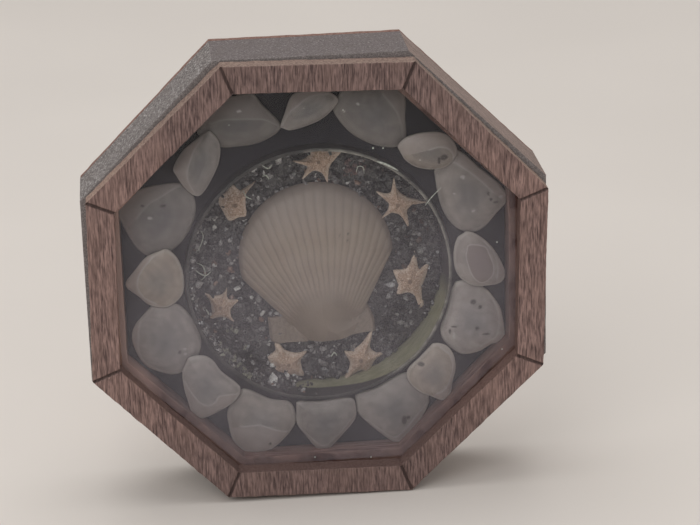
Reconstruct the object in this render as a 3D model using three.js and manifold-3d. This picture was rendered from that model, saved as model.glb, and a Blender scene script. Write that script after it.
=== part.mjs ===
// Octagonal shell box: a small glazed display box of wood. A flat wooden frame holds the pane
// on the front. Behind the pane a dark board carries sixteen small clam valves around a round
// well, and in the well a scallop and seven starfish lie on coarse dark sand.
// Units are millimetres, +Z is up and the glazed front faces -Y. Depths are counted from the
// front of the frame towards the back. The box stands on the bottom flat of its wall.

import * as THREE from 'three';
import { mergeVertices } from 'three/addons/utils/BufferGeometryUtils.js';
import Module from 'manifold-3d';

const wasm = await Module();
wasm.setup();

// Wooden case
const wallAcross = 101.6; // across two opposite outer flats of the wall
const boxDepth = 22.5; // front of the frame to the back of the back board
const wallThick = 8.1;
const backThick = 1.5;

// Flat frame on the front, glued on slightly askew
const frameInset = 0.8; // each frame flat stands back this far from the wall flat
const frameStrip = 6;
const frameThick = 4.2;
const frameTurn = 1.43; // degrees, clockwise seen from the front
const scoreWidth = 0.5; // lines scored across the eight corners
const scoreDepth = 0.4;

// Pane in its rebate, and the room behind it
const glassThick = 1.6;
const glassLap = 3;
const shellRoom = 4.8; // from the back of the pane to the board

// Board that carries the small valves, on a step cut in the wall
const boardThick = 2;
const boardLap = 1.5;

// Round well through the board
const wellRadius = 28.9; // inside
const wellWall = 0.8;
const wellProud = 2.4; // how far its rim stands in front of the board
const wellAside = 0.7; // its centre is this far right of the middle of the box
const wellDrop = 0.8; // and this far below it
const sandThick = 2.3;
const sandLump = 0.5;

// Scallop valve in the well
const scallopWidth = 34.8;
const scallopRise = 5.6; // dome above its rim
const scallopWall = 1.1;
const scallopEdge = 0.25; // thickness at the rim
const scallopTurn = 4.5; // degrees, anticlockwise
const scallopLift = 1.5; // its disc is this far above the middle of the well
const ribCount = 25;
const ribHeight = 0.35;

// Small valves and starfish
const valveRise = 2.2;
const valveWall = 0.7;
const valveEdge = 0.2; // thickness at the rim of a valve
const starThick = 1.5;
const starEdge = 0.4; // thickness at the rim of an arm

// Clearance between pieces that touch or fit in each other
const fit = 0.3;

// Worked out from the above
const wallFlat = wallAcross / 2;
const openingFlat = wallFlat - wallThick;
const frameFlat = wallFlat - frameInset;
const wallFront = frameThick + fit;
const glassBack = wallFront + glassThick;
const boardFront = glassBack + shellRoom;
const boardBack = boardFront + boardThick;
const backFront = boxDepth - backThick;
const wallBack = backFront - fit;
const wellRim = boardFront - wellProud;
const wellOuter = wellRadius + wellWall;
const sandTop = wallBack - sandThick;
const scallopBase = sandTop - fit;
const scallopRadius = scallopWidth / 2;
const valveCount = 16;
const overcut = 1; // cutting shapes run past the faces that they cut by this much
const roundSteps = 60;

const degrees = Math.PI / 180;
const pieces = new THREE.Group();

// Materials of the pieces

function finish(color, roughness, more = {}) {
  return new THREE.MeshStandardMaterial({ color, roughness, metalness: 0, ...more });
}

const frameWood = finish(0x7d6056, 0.75);
const wallWood = finish(0x7c746e, 0.85);
const backWood = finish(0x6f4a3e, 0.85);
const clearGlass = finish(0xdfe6e6, 0.08, { transparent: true, opacity: 0.25 });
const darkBoard = finish(0x35343b, 0.9);
const wellPaint = finish(0x7d7d60, 0.8);
const darkSand = finish(0x3c3b40, 0.7);
const scallopShell = finish(0x8f8478, 0.6);
const starfishSkin = finish(0xb39a86, 0.8);
const valveShell = finish(0x7f7a7a, 0.45);

// Closed bodies

function toSolid(geometry) {
  const bare = geometry.clone();
  bare.deleteAttribute('normal');
  bare.deleteAttribute('uv');
  const merged = mergeVertices(bare, 1e-5);
  const vertProperties = new Float32Array(merged.attributes.position.array);
  const triVerts = new Uint32Array(merged.index.array);
  return new wasm.Manifold(new wasm.Mesh({ numProp: 3, vertProperties, triVerts }));
}

function toGeometry(solid) {
  const mesh = solid.getMesh();
  const geometry = new THREE.BufferGeometry();
  geometry.setAttribute('position', new THREE.BufferAttribute(mesh.vertProperties, 3));
  geometry.setIndex(new THREE.BufferAttribute(mesh.triVerts, 1));
  geometry.computeVertexNormals();
  return geometry;
}

function meshGeometry(points, faces) {
  const geometry = new THREE.BufferGeometry();
  geometry.setAttribute('position', new THREE.Float32BufferAttribute(points.flat(), 3));
  geometry.setIndex(faces.flat());
  geometry.computeVertexNormals();
  return geometry;
}

// A flat shape drawn as seen from the front, made solid from one depth to another
function slab(shape, front, back) {
  const geometry = new THREE.ExtrudeGeometry(shape, {
    depth: back - front,
    bevelEnabled: false,
    curveSegments: roundSteps,
  });
  geometry.translate(0, 0, -back);
  geometry.rotateX(Math.PI / 2);
  return geometry;
}

// Regular octagon with level and upright flats; flat is the distance from its middle to a flat
function octagon(flat) {
  const corner = flat / Math.cos(Math.PI / 8);
  const points = [];
  for (let i = 0; i < 8; i += 1) {
    const angle = (22.5 + 45 * i) * degrees;
    points.push(new THREE.Vector2(corner * Math.cos(angle), corner * Math.sin(angle)));
  }
  return new THREE.Shape(points);
}

function octagonSlab(flat, front, back) {
  return toSolid(slab(octagon(flat), front, back));
}

function addPiece(name, geometry, material) {
  const mesh = new THREE.Mesh(geometry, material);
  mesh.name = name;
  pieces.add(mesh);
  return mesh;
}

// A thin closed body over a star-shaped outline: rings of points from a middle to the outline.
// reach(i) gives the outline point [x, z] of spoke i, anticlockwise seen from the front. The
// heights front(x, z, share) and back(x, z, share) are how far the two skins stand in front of
// the base depth, where share runs from 0 in the middle to 1 on the outline. The skins meet
// along the outline. frontRings and backRings list the shares that get a ring of points.
function skinGeometry(spokes, middle, reach, base, front, back, frontRings, backRings) {
  const points = [];
  const faces = [];
  const put = (x, z, height) => points.push([x, base - height, z]) - 1;
  const outline = [];
  for (let i = 0; i < spokes; i += 1) {
    outline.push(reach(i));
  }
  const edge = outline.map(([x, z]) => put(x, z, front(x, z, 1)));
  const skin = (rings, height, flip) => {
    let outer = edge;
    for (const share of rings) {
      const inner = outline.map(([x, z]) => {
        const px = middle[0] + (x - middle[0]) * share;
        const pz = middle[1] + (z - middle[1]) * share;
        return put(px, pz, height(px, pz, share));
      });
      for (let i = 0; i < spokes; i += 1) {
        const j = (i + 1) % spokes;
        const quad = [[outer[i], outer[j], inner[j]], [outer[i], inner[j], inner[i]]];
        quad.forEach(([a, b, c]) => faces.push(flip ? [a, c, b] : [a, b, c]));
      }
      outer = inner;
    }
    const top = put(middle[0], middle[1], height(middle[0], middle[1], 0));
    for (let i = 0; i < spokes; i += 1) {
      const j = (i + 1) % spokes;
      faces.push(flip ? [outer[i], top, outer[j]] : [outer[i], outer[j], top]);
    }
  };
  skin(frontRings, front, false);
  skin(backRings, back, true);
  return meshGeometry(points, faces);
}

// Wooden case

function makeFrame() {
  const corner = frameFlat / Math.cos(Math.PI / 8);
  const hole = octagonSlab(frameFlat - frameStrip, -overcut, frameThick + overcut);
  let solid = octagonSlab(frameFlat, 0, frameThick).subtract(hole);
  for (let i = 0; i < 8; i += 1) {
    const length = (frameStrip + 2 * overcut) / Math.cos(Math.PI / 8);
    const line = new THREE.BoxGeometry(length, 2 * scoreDepth, scoreWidth); // half of it cuts
    line.translate(corner - length / 2 + overcut, 0, 0);
    line.rotateY(-(22.5 + 45 * i) * degrees);
    solid = solid.subtract(toSolid(line));
  }
  const mesh = addPiece('front_frame', toGeometry(solid), frameWood);
  mesh.rotation.y = frameTurn * degrees;
}

function makeWall() {
  const solid = octagonSlab(wallFlat, wallFront, wallBack)
    .subtract(octagonSlab(openingFlat + glassLap, wallFront - overcut, glassBack + fit))
    .subtract(octagonSlab(openingFlat, glassBack, boardBack + fit))
    .subtract(octagonSlab(openingFlat - boardLap, boardBack, wallBack + overcut));
  addPiece('box_wall', toGeometry(solid), wallWood);
}

function makePane() {
  addPiece('glass_pane', slab(octagon(openingFlat + glassLap - fit), wallFront, glassBack), clearGlass);
}

function makeBackBoard() {
  addPiece('back_board', slab(octagon(wallFlat), backFront, boxDepth), backWood);
}

function makeShellBoard() {
  const shape = octagon(openingFlat - fit);
  const hole = new THREE.Path();
  hole.absarc(wellAside, -wellDrop, wellOuter + fit, 0, 2 * Math.PI, true);
  shape.holes.push(hole);
  addPiece('shell_board', slab(shape, boardFront, boardBack), darkBoard);
}

// The round well

function makeWell() {
  const profile = [
    [wellRadius, wellRim],
    [wellOuter, wellRim],
    [wellOuter, wallBack],
    [wellRadius, wallBack],
    [wellRadius, wellRim],
  ].map(([radius, depth]) => new THREE.Vector2(radius, depth));
  const mesh = addPiece('well_ring', new THREE.LatheGeometry(profile, roundSteps), wellPaint);
  mesh.position.set(wellAside, 0, -wellDrop);
}

// The sand's front is uneven, in soft lumps a few millimetres apart
function makeSand() {
  const radius = wellRadius - fit;
  const ringCount = 6;
  const profile = [];
  for (let i = 0; i <= ringCount; i += 1) {
    profile.push(new THREE.Vector2((radius * i) / ringCount, sandTop));
  }
  profile.push(new THREE.Vector2(radius, wallBack), new THREE.Vector2(0, wallBack));
  const geometry = new THREE.LatheGeometry(profile, roundSteps);
  const points = geometry.attributes.position;
  for (let i = 0; i < points.count; i += 1) {
    const [x, depth, z] = [points.getX(i), points.getY(i), points.getZ(i)];
    if (depth < wallBack - sandThick / 2) {
      const wave = Math.sin(x * 0.9) * Math.cos(z * 1.1) + Math.sin(x * 0.4 + z * 0.7 + 1);
      points.setY(i, depth + (sandLump * (2 - wave)) / 4);
    }
  }
  const mesh = addPiece('sand_bed', geometry, darkSand);
  mesh.position.set(wellAside, 0, -wellDrop);
}

// Scallop: a round fan with two straight sides, over two square ears along a straight hinge
// line. Its own x runs along the hinge and its own z from the hinge to the top of the fan.

const discMiddle = scallopRadius * 1.15; // hinge line to the middle of the disc
const umbo = scallopRadius * 0.34; // hinge line to the point where the ribs meet
const earReach = scallopRadius * 0.72; // middle of the hinge line to the end of an ear
const earHeight = scallopRadius * 0.39;
const sideReach = scallopRadius * 0.89; // middle of the disc to each straight side
const sideSlopes = [38 * degrees, 30 * degrees]; // left and right side, from the upright
const fanHalf = 84 * degrees; // ribs run this far to each side of the top
const domeSquare = 2.4; // a higher value makes the dome flatter on top
const domeSide = 0.8; // a lower value makes it steeper at the rim

// Distance from the umbo to the outline in a direction; 0 is straight up the fan
function scallopReach(angle) {
  const side = Math.sin(angle);
  const up = Math.cos(angle);
  const down = discMiddle - umbo;
  const toEdge = (x, z, far) => {
    const along = side * x + up * z;
    return along > 0 ? (far - (umbo - discMiddle) * z) / along : Infinity;
  };
  const disc = down * up + Math.sqrt(scallopRadius ** 2 - (down * side) ** 2);
  const [left, right] = sideSlopes;
  const fan = Math.min(
    disc,
    toEdge(-Math.cos(left), -Math.sin(left), sideReach),
    toEdge(Math.cos(right), -Math.sin(right), sideReach),
  );
  const ear = Math.min(
    toEdge(-1, 0, earReach),
    toEdge(1, 0, earReach),
    toEdge(0, 1, earHeight - discMiddle),
    toEdge(0, -1, discMiddle),
  );
  return Math.max(fan, ear);
}

function makeScallop() {
  const ribSteps = 4;
  const fanSteps = ribCount * ribSteps;
  const hingeSteps = 14;
  const spokes = fanSteps + hingeSteps;
  const angleOf = (i) => {
    if (i <= fanSteps) {
      return fanHalf * (1 - (2 * i) / fanSteps);
    }
    return -fanHalf - ((i - fanSteps) / hingeSteps) * (2 * Math.PI - 2 * fanHalf);
  };
  const reach = (i) => {
    const angle = angleOf(i);
    const length = scallopReach(angle);
    return [length * Math.sin(angle), umbo + length * Math.cos(angle)];
  };
  const dome = (x, z, rise) => {
    const out = Math.min(1, Math.hypot(x, z - discMiddle) / scallopRadius);
    return rise * (1 - out ** domeSquare) ** domeSide;
  };
  const rib = (x, z, share) => {
    const angle = Math.atan2(x, z - umbo);
    if (Math.abs(angle) > fanHalf) {
      return 0;
    }
    const turns = ((angle + fanHalf) / (2 * fanHalf)) * ribCount;
    return (ribHeight / 2) * (1 - Math.cos(2 * Math.PI * turns)) * Math.sqrt(share);
  };
  const front = (x, z, share) => (share < 1 ? scallopWall : scallopEdge)
    + dome(x, z, scallopRise) + rib(x, z, share);
  const back = (x, z) => dome(x, z, scallopRise);
  const geometry = skinGeometry(
    spokes,
    [0, umbo],
    reach,
    scallopBase,
    front,
    back,
    [0.93, 0.82, 0.68, 0.52, 0.36, 0.2],
    [0.8, 0.5, 0.2],
  );
  geometry.translate(0, 0, -discMiddle);
  const mesh = addPiece('scallop_shell', geometry, scallopShell);
  mesh.position.set(wellAside, 0, scallopLift - wellDrop);
  mesh.rotation.y = -scallopTurn * degrees;
}

// Starfish: each lies between the scallop and the side of the well. at is its direction from
// the middle of the well in degrees, out its place in the room there, and each arm has a
// direction in degrees and a length as a share of that room. tilt raises its outer side, in
// millimetres for each millimetre outwards.

const starWeb = 0.68; // the arms meet at this share of the shortest arm
const armSteps = [0, 0.12, 0.4, 0.72]; // from the tip of an arm towards the next web
const starfish = [
  { at: 87, out: 0.53, tilt: 0.05, arms: [[20, 0.55], [88, 0.42], [179, 0.6], [229, 0.56], [288, 0.5]] },
  { at: 35, out: 0.41, tilt: 0.05, arms: [[2, 0.66], [97, 0.62], [146, 0.52], [226, 0.38], [296, 0.52]] },
  { at: -15, out: 0.41, tilt: 0.05, arms: [[37, 0.45], [83, 0.6], [148, 0.38], [219, 0.34], [290, 0.56]] },
  { at: -68, out: 0.55, tilt: 0.25, arms: [[6, 0.62], [66, 0.56], [153, 0.42], [233, 0.56], [287, 0.4]] },
  { at: -107, out: 0.5, tilt: 0.25, arms: [[26, 0.56], [127, 0.5], [167, 0.58], [268, 0.5], [316, 0.56]] },
  { at: -156, out: 0.59, tilt: 0.05, arms: [[23, 0.42], [72, 0.44], [134, 0.42], [218, 0.4], [308, 0.37]] },
  { at: 141, out: 0.47, tilt: 0.05, arms: [[46, 0.66], [122, 0.42], [180, 0.36], [249, 0.36], [313, 0.4]] },
];

// Distance from the middle of the well to the scallop in a direction
function scallopFrom(angle) {
  const turned = angle - scallopTurn * degrees;
  const disc = scallopLift * Math.sin(angle)
    + Math.sqrt(scallopRadius ** 2 - (scallopLift * Math.cos(angle)) ** 2);
  const down = -Math.sin(turned);
  const hinge = down > 0 ? (discMiddle - scallopLift) / down : 0;
  const atEars = Math.abs(hinge * Math.cos(turned)) < earReach;
  return atEars ? Math.max(disc, hinge) : disc;
}

function makeStarfish(star, index) {
  const direction = star.at * degrees;
  const near = scallopFrom(direction) + fit;
  const room = wellRadius - fit - near;
  const radius = near + star.out * room;
  const [outX, outZ] = [Math.cos(direction), Math.sin(direction)];
  const arms = star.arms.map(([turn, share]) => [turn * degrees, share * room]);
  const web = Math.min(...arms.map(([, length]) => length)) * starWeb;
  const outline = [];
  arms.forEach(([turn, length], i) => {
    const [nextTurn, nextLength] = arms[(i + 1) % arms.length];
    const half = (((nextTurn - turn + 2 * Math.PI) % (2 * Math.PI)) || 2 * Math.PI) / 2;
    const taper = (full, share) => full + (web - full) * Math.sqrt(share);
    armSteps.forEach((share) => outline.push([turn + half * share, taper(length, share)]));
    outline.push([turn + half, web]);
    armSteps.slice(1).reverse().forEach((share) => {
      outline.push([turn + half * (2 - share), taper(nextLength, share)]);
    });
  });
  const lean = (x, z) => star.tilt * Math.max(0, x * outX + z * outZ + room / 2);
  const thick = (share) => starEdge + (starThick - starEdge) * (1 - share ** 1.5);
  const geometry = skinGeometry(
    outline.length,
    [0, 0],
    (i) => {
      const [turn, length] = outline[i];
      return [length * Math.cos(turn), length * Math.sin(turn)];
    },
    sandTop - fit,
    (x, z, share) => thick(share) + lean(x, z),
    lean,
    [0.55],
    [0.9],
  );
  const mesh = addPiece(`starfish_${index + 1}`, geometry, starfishSkin);
  mesh.position.set(wellAside + radius * outX, 0, -wellDrop + radius * outZ);
}

// Small valves: they stand side by side on the board, between the well and the wall. at is a
// valve's direction from the middle of the well in degrees, wide its share of a sixteenth of
// the way round, deep its share of the room between well and wall, and out where it lies in
// the room that is left. Its outline is a circle drawn out to an oval and to three soft
// corners, each by a share and in a direction counted from straight outwards. lift raises the
// valves that lie over their neighbours, as a share of the height left behind the pane.

const valveApex = 0.1; // its top lies outwards of its middle by this share of the room
const valves = [
  { at: 92, wide: 0.84, deep: 0.7, out: 0.8, oval: [0.39, -66], corners: [0.09, 25], lift: 0.67 },
  { at: 71, wide: 1.1, deep: 0.97, out: 0.5, oval: [0.1, 27], corners: [0.13, -6], lift: 0 },
  { at: 47, wide: 0.8, deep: 0.86, out: 0.9, oval: [0.24, -50], corners: [0.06, 0], lift: 1 },
  { at: 27, wide: 1.24, deep: 0.94, out: 0.85, oval: [0.21, -89], corners: [0.1, -28], lift: 0 },
  { at: 1, wide: 0.92, deep: 0.97, out: 0.5, oval: [0.2, -54], corners: [0.08, -22], lift: 0.72 },
  { at: -21, wide: 1.18, deep: 0.97, out: 0.5, oval: [0.13, -69], corners: [0.12, -2], lift: 0 },
  { at: -45, wide: 0.9, deep: 0.97, out: 0.5, oval: [0.13, -52], corners: [0.11, -15], lift: 1 },
  { at: -65, wide: 1.14, deep: 0.98, out: 0.5, oval: [0.06, 84], corners: [0.16, -16], lift: 0 },
  { at: -89, wide: 0.98, deep: 0.98, out: 0.5, oval: [0.01, 0], corners: [0.15, -4], lift: 0.44 },
  { at: -113, wide: 1.08, deep: 0.98, out: 0.5, oval: [0.04, 25], corners: [0.1, 5], lift: 0 },
  { at: -135, wide: 1.04, deep: 0.96, out: 0.5, oval: [0.16, 69], corners: [0.16, 10], lift: 0.83 },
  { at: -159, wide: 1.14, deep: 0.94, out: 0.1, oval: [0.07, 80], corners: [0.05, 0], lift: 0 },
  { at: 179, wide: 0.92, deep: 0.93, out: 0.2, oval: [0.05, 68], corners: [0.1, 8], lift: 0.67 },
  { at: 156, wide: 1.12, deep: 0.95, out: 0.5, oval: [0.07, 61], corners: [0.06, -3], lift: 0 },
  { at: 133, wide: 0.94, deep: 0.84, out: 0.65, oval: [0.3, -62], corners: [0.1, 43], lift: 0.78 },
  { at: 114, wide: 0.92, deep: 0.9, out: 0.9, oval: [0.09, 23], corners: [0.16, -10], lift: 0 },
];

// Distance from the middle of the well to the inside of the wall in a direction
function wallFrom(angle) {
  let nearest = Infinity;
  for (let i = 0; i < 8; i += 1) {
    const flat = i * 45 * degrees;
    const facing = Math.cos(angle - flat);
    const away = openingFlat - wellAside * Math.cos(flat) + wellDrop * Math.sin(flat);
    if (facing > 0) {
      nearest = Math.min(nearest, away / facing);
    }
  }
  return nearest;
}

function makeValve(valve, index) {
  const spokes = 24;
  const direction = valve.at * degrees;
  const near = wellOuter + fit;
  const room = wallFrom(direction) - fit - near;
  const pitch = (2 * Math.PI * (near + room / 2)) / valveCount;
  const plain = [];
  for (let i = 0; i < spokes; i += 1) {
    const turn = (2 * Math.PI * i) / spokes;
    const [oval, ovalTurn] = valve.oval;
    const [corner, cornerTurn] = valve.corners;
    const stretch = (2 * oval) / (1 + oval ** 2);
    const length = 1 / Math.sqrt(1 - stretch * Math.cos(2 * (turn - ovalTurn * degrees)))
      + corner * Math.cos(3 * (turn - cornerTurn * degrees));
    plain.push([length * Math.cos(turn), length * Math.sin(turn)]);
  }
  const span = (side) => {
    const values = plain.map((point) => point[side]);
    return [Math.min(...values), Math.max(...values)];
  };
  const [low, high] = span(0);
  const [left, right] = span(1);
  const outScale = (valve.deep * room) / (high - low);
  const sideScale = (valve.wide * pitch) / (right - left);
  const inner = near + valve.out * (1 - valve.deep) * room;
  const radius = inner - low * outScale;
  const [outX, outZ] = [Math.cos(direction), Math.sin(direction)];
  const outline = plain.map(([out, side]) => {
    const [u, v] = [out * outScale, side * sideScale];
    return [u * outX - v * outZ, u * outZ + v * outX];
  });
  const apex = [outX * room * valveApex, outZ * room * valveApex];
  const dome = (share, rise) => rise * (1 - share ** 2) ** domeSide;
  const spare = shellRoom - 2 * fit - valveEdge - valveRise;
  const geometry = skinGeometry(
    spokes,
    apex,
    (i) => outline[i],
    boardFront - fit - valve.lift * spare,
    (x, z, share) => valveEdge + dome(share, valveRise),
    (x, z, share) => dome(share, valveRise - valveWall + valveEdge),
    [0.85, 0.5],
    [0.6],
  );
  const number = String(index + 1).padStart(2, '0');
  const mesh = addPiece(`rim_shell_${number}`, geometry, valveShell);
  mesh.position.set(wellAside + radius * outX, 0, -wellDrop + radius * outZ);
}

makeFrame();
makePane();
makeWall();
makeBackBoard();
makeShellBoard();
makeWell();
makeSand();
makeScallop();
starfish.forEach(makeStarfish);
valves.forEach(makeValve);

pieces.position.set(0, -boxDepth / 2, wallFlat);

export default pieces;
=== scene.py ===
"""Octagonal shell box: a small glazed display box of wood with shells, a scallop and starfish.

Everything is in metres. The glazed front faces -Y, +Z is up and the box stands on z = 0. "Out"
is a distance from the middle of the box to a flat of an octagon, and "depth" is a y value.
"""
import math
from itertools import product

import bmesh
import bpy
import numpy as np
from bpy.props import FloatProperty, FloatVectorProperty, IntProperty, PointerProperty
from mathutils import Euler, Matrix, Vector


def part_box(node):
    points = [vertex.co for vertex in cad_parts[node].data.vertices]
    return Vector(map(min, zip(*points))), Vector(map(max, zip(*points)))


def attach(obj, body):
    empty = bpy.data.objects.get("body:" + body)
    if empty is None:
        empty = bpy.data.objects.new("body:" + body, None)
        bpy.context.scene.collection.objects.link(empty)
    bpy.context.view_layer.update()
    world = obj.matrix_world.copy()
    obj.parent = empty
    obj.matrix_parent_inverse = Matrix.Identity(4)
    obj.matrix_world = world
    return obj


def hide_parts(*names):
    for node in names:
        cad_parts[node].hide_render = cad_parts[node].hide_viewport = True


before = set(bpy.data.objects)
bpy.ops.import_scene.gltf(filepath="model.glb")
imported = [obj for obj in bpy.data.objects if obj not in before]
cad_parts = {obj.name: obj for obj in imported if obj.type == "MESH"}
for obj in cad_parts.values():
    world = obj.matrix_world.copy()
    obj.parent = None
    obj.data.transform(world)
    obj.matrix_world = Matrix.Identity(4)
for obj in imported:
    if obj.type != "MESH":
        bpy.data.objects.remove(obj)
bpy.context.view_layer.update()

bl_info = {
    "name": "Shell Box",
    "version": (1, 0, 0),
    "blender": (4, 5, 0),
    "location": "3D View > Sidebar > Shell Box",
    "description": "Builds an octagonal display box with shells behind glass",
    "category": "Add Mesh",
}

MM = 0.001

# The photograph's view, solved from the corners of the box
PHOTO_WIDTH = 700
PHOTO_HEIGHT = 525
FOCAL_PIXELS = 2447.1
SENSOR = 36.0  # millimetres
CAMERA_PLACE = (-0.03766, -0.50886, 0.24069)
CAMERA_TURN = (69.689, 1.498, -5.660)  # degrees
PIXEL = 0.218 * MM  # width of one pixel at the front of the box

# Sizes that the frame gives
WALL_LOW, WALL_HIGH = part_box("box_wall")
PANE_LOW, PANE_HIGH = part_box("glass_pane")
BOARD_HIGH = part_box("shell_board")[1]
RING_LOW, RING_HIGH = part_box("front_frame")
BACK_LOW, BACK_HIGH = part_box("back_board")
WELL_LOW, WELL_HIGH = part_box("well_ring")
SAND_LOW, SAND_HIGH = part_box("sand_bed")
SCALLOP_LOW, SCALLOP_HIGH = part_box("scallop_shell")
MIDDLE_Z = (WALL_LOW.z + WALL_HIGH.z) / 2
WALL_OUT = WALL_HIGH.x
GAP = 0.3 * MM  # kept between pieces that touch
REBATE_OUT = PANE_HIGH.x + GAP
OPENING_OUT = BOARD_HIGH.x + GAP
LEDGE_OUT = OPENING_OUT - 1.5 * MM
WELL_X = (WELL_LOW.x + WELL_HIGH.x) / 2
WELL_Z = (WELL_LOW.z + WELL_HIGH.z) / 2
WELL_OUTER = WELL_HIGH.x - WELL_X
WELL_INNER = SAND_HIGH.x - WELL_X + GAP

FRAME_STEPS = 100  # points along each side of the front frame
WALL_STEPS = 48  # points along each side of the wall
BACK_STEPS = 40  # points along each side of the back board
LOOSE_GRAINS = 3600  # fewer show, because none are put under the scallop
HEAPED_GRAINS = 900
SAND_RINGS, SAND_SPOKES = 34, 120
WELL_STEPS = 300
FAN_RINGS, FAN_SPOKES = 64, 520
STARFISH_RINGS, STARFISH_SPOKES = 16, 220
VALVE_RINGS, VALVE_SPOKES = 24, 160
HEAP_ANGLES = (150, 215, 268)  # degrees round the well: start, thickest place and end of the heap

STARFISH = [f"starfish_{i}" for i in range(1, 8)]
VALVES = [f"rim_shell_{i:02d}" for i in range(1, 17)]


# What a user would change


class ShellBoxSizes(bpy.types.PropertyGroup):
    """Sizes of the fine work on the box."""

    wood_relief: FloatProperty(
        name="Wood Relief", description="Height of the raised grain on the front frame",
        default=0.09 * MM, min=0, subtype="DISTANCE", unit="LENGTH")
    edge_wobble: FloatProperty(
        name="Edge Wobble", description="How far the sawn edges of the frame run off straight",
        default=0.17 * MM, min=0, subtype="DISTANCE", unit="LENGTH")
    score_width: FloatProperty(
        name="Score Width", description="Width of the lines scored across the frame's corners",
        default=0.85 * MM, min=0, subtype="DISTANCE", unit="LENGTH")
    score_depth: FloatProperty(
        name="Score Depth", description="Depth of the scored lines",
        default=0.4 * MM, min=0, subtype="DISTANCE", unit="LENGTH")
    sand_grain: FloatProperty(
        name="Sand Grain", description="Mean width of a grain of sand",
        default=1.25 * MM, min=0.3 * MM, subtype="DISTANCE", unit="LENGTH")
    scallop_ribs: IntProperty(
        name="Scallop Ribs", description="Number of ribs on the scallop", default=28, min=5)
    rib_height: FloatProperty(
        name="Rib Height", description="Height of the scallop's ribs",
        default=0.24 * MM, min=0, subtype="DISTANCE", unit="LENGTH")
    # the film is partly dust and partly a pale veil of painted reflection
    pane_haze: FloatProperty(
        name="Pane Haze", description="How much of the view the dusty film on the pane covers",
        default=0.14, min=0, max=1, subtype="FACTOR")


def colour_property(name, description, default):
    """A colour that can be picked, red, green and blue, linear."""
    return FloatVectorProperty(
        name=name, description=description, subtype="COLOR", size=3, min=0, max=1, default=default)


class ShellBoxColours(bpy.types.PropertyGroup):
    """Colours of the box."""

    wood_light: colour_property("Frame Light", "Light streaks of the frame", (0.39, 0.255, 0.225))
    wood_dark: colour_property("Frame Dark", "Dark pores of the frame", (0.060, 0.034, 0.032))
    wood_edge: colour_property("Frame Edge", "Smooth inner and outer edges", (0.29, 0.185, 0.155))
    wall_grey: colour_property("Wall Grey", "Greyed end grain of the wall", (0.26, 0.235, 0.23))
    wall_warm: colour_property("Wall Warm", "Long grain of the wall", (0.35, 0.275, 0.25))
    back_brown: colour_property("Back Brown", "Thin back board", (0.17, 0.075, 0.055))
    ledge_brown: colour_property("Ledge Brown", "Inside of the wall", (0.18, 0.11, 0.095))
    board_black: colour_property("Board", "Dark board under the valves", (0.006, 0.005, 0.011))
    sand_dark: colour_property("Sand Dark", "Most grains of the sand", (0.003, 0.003, 0.005))
    sand_pale: colour_property("Sand Pale", "Lighter grains of the sand", (0.34, 0.325, 0.325))
    valve_grey: colour_property("Valve Grey", "Body of the small valves", (0.23, 0.207, 0.20))
    valve_rim: colour_property("Valve Rim", "Thin margins of the small valves", (0.50, 0.465, 0.43))
    scallop_pale: colour_property("Scallop Pale", "Ribs of the scallop", (0.33, 0.265, 0.215))
    scallop_deep: colour_property("Scallop Deep", "Grooves of the scallop", (0.262, 0.208, 0.17))
    star_peach: colour_property("Starfish", "Dry skin of the starfish", (0.45, 0.315, 0.235))
    well_green: colour_property("Well Green", "Pale green side of the well", (0.235, 0.24, 0.14))
    well_dark: colour_property("Well Dark", "Dark stretch of the well", (0.018, 0.017, 0.018))
    floor_pale: colour_property("Floor", "Plain surface that the box stands on", (0.74, 0.70, 0.66))


def sizes():
    """The sizes as the user has them."""
    return bpy.context.scene.shell_box_sizes


def colours():
    """The colours as the user has them."""
    return bpy.context.scene.shell_box_colours


# Geometry helpers


def lattice_noise(points, seed=0):
    """Smooth noise from -1 to 1 at each row of points, one hump for each unit cell."""
    points = np.asarray(points, float)
    cell = np.floor(points).astype(np.int64)
    part = points - cell
    part = part * part * (3 - 2 * part)
    total = np.zeros(len(points))
    for corner in product((0, 1), repeat=3):
        at = cell + corner
        mixed = at[:, 0] * 73856093 ^ at[:, 1] * 19349663 ^ at[:, 2] * 83492791
        mixed = mixed ^ (seed + 7) * 2654435
        mixed = (mixed ^ mixed >> 13) * 1274126177
        value = ((mixed ^ mixed >> 16) & 0xFFFF) / 0x7FFF - 1
        total += value * np.prod(np.where(corner, part, 1 - part), axis=1)
    return total


def rough(points, cell, seed=0, octaves=3):
    """Noise with finer and weaker layers; cell is the size of its largest humps along each axis."""
    points = np.asarray(points, float) / np.asarray(cell, float)
    total = 0.0
    for octave in range(octaves):
        total = total + lattice_noise(points * 2**octave, seed + octave) / 2**octave
    return total / 1.6


def ease(value, low, high):
    """0 below low, 1 above high and a smooth step between."""
    share = np.clip((np.asarray(value, float) - low) / (high - low), 0, 1)
    return share * share * (3 - 2 * share)


def grid_faces(rows, columns, wrap_rows=False, wrap_columns=False):
    """Quads of a grid of points numbered row by row."""
    i, j = np.meshgrid(
        np.arange(rows if wrap_rows else rows - 1),
        np.arange(columns if wrap_columns else columns - 1), indexing="ij")
    k, m = (i + 1) % rows, (j + 1) % columns
    quads = np.stack([i * columns + j, i * columns + m, k * columns + m, k * columns + j], axis=-1)
    return quads.reshape(-1, 4)


def camera_axes():
    """The camera's place and its right, up and back directions as rows."""
    turn = np.array(Euler([math.radians(angle) for angle in CAMERA_TURN]).to_matrix())
    return np.array(CAMERA_PLACE), turn.T


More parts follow.
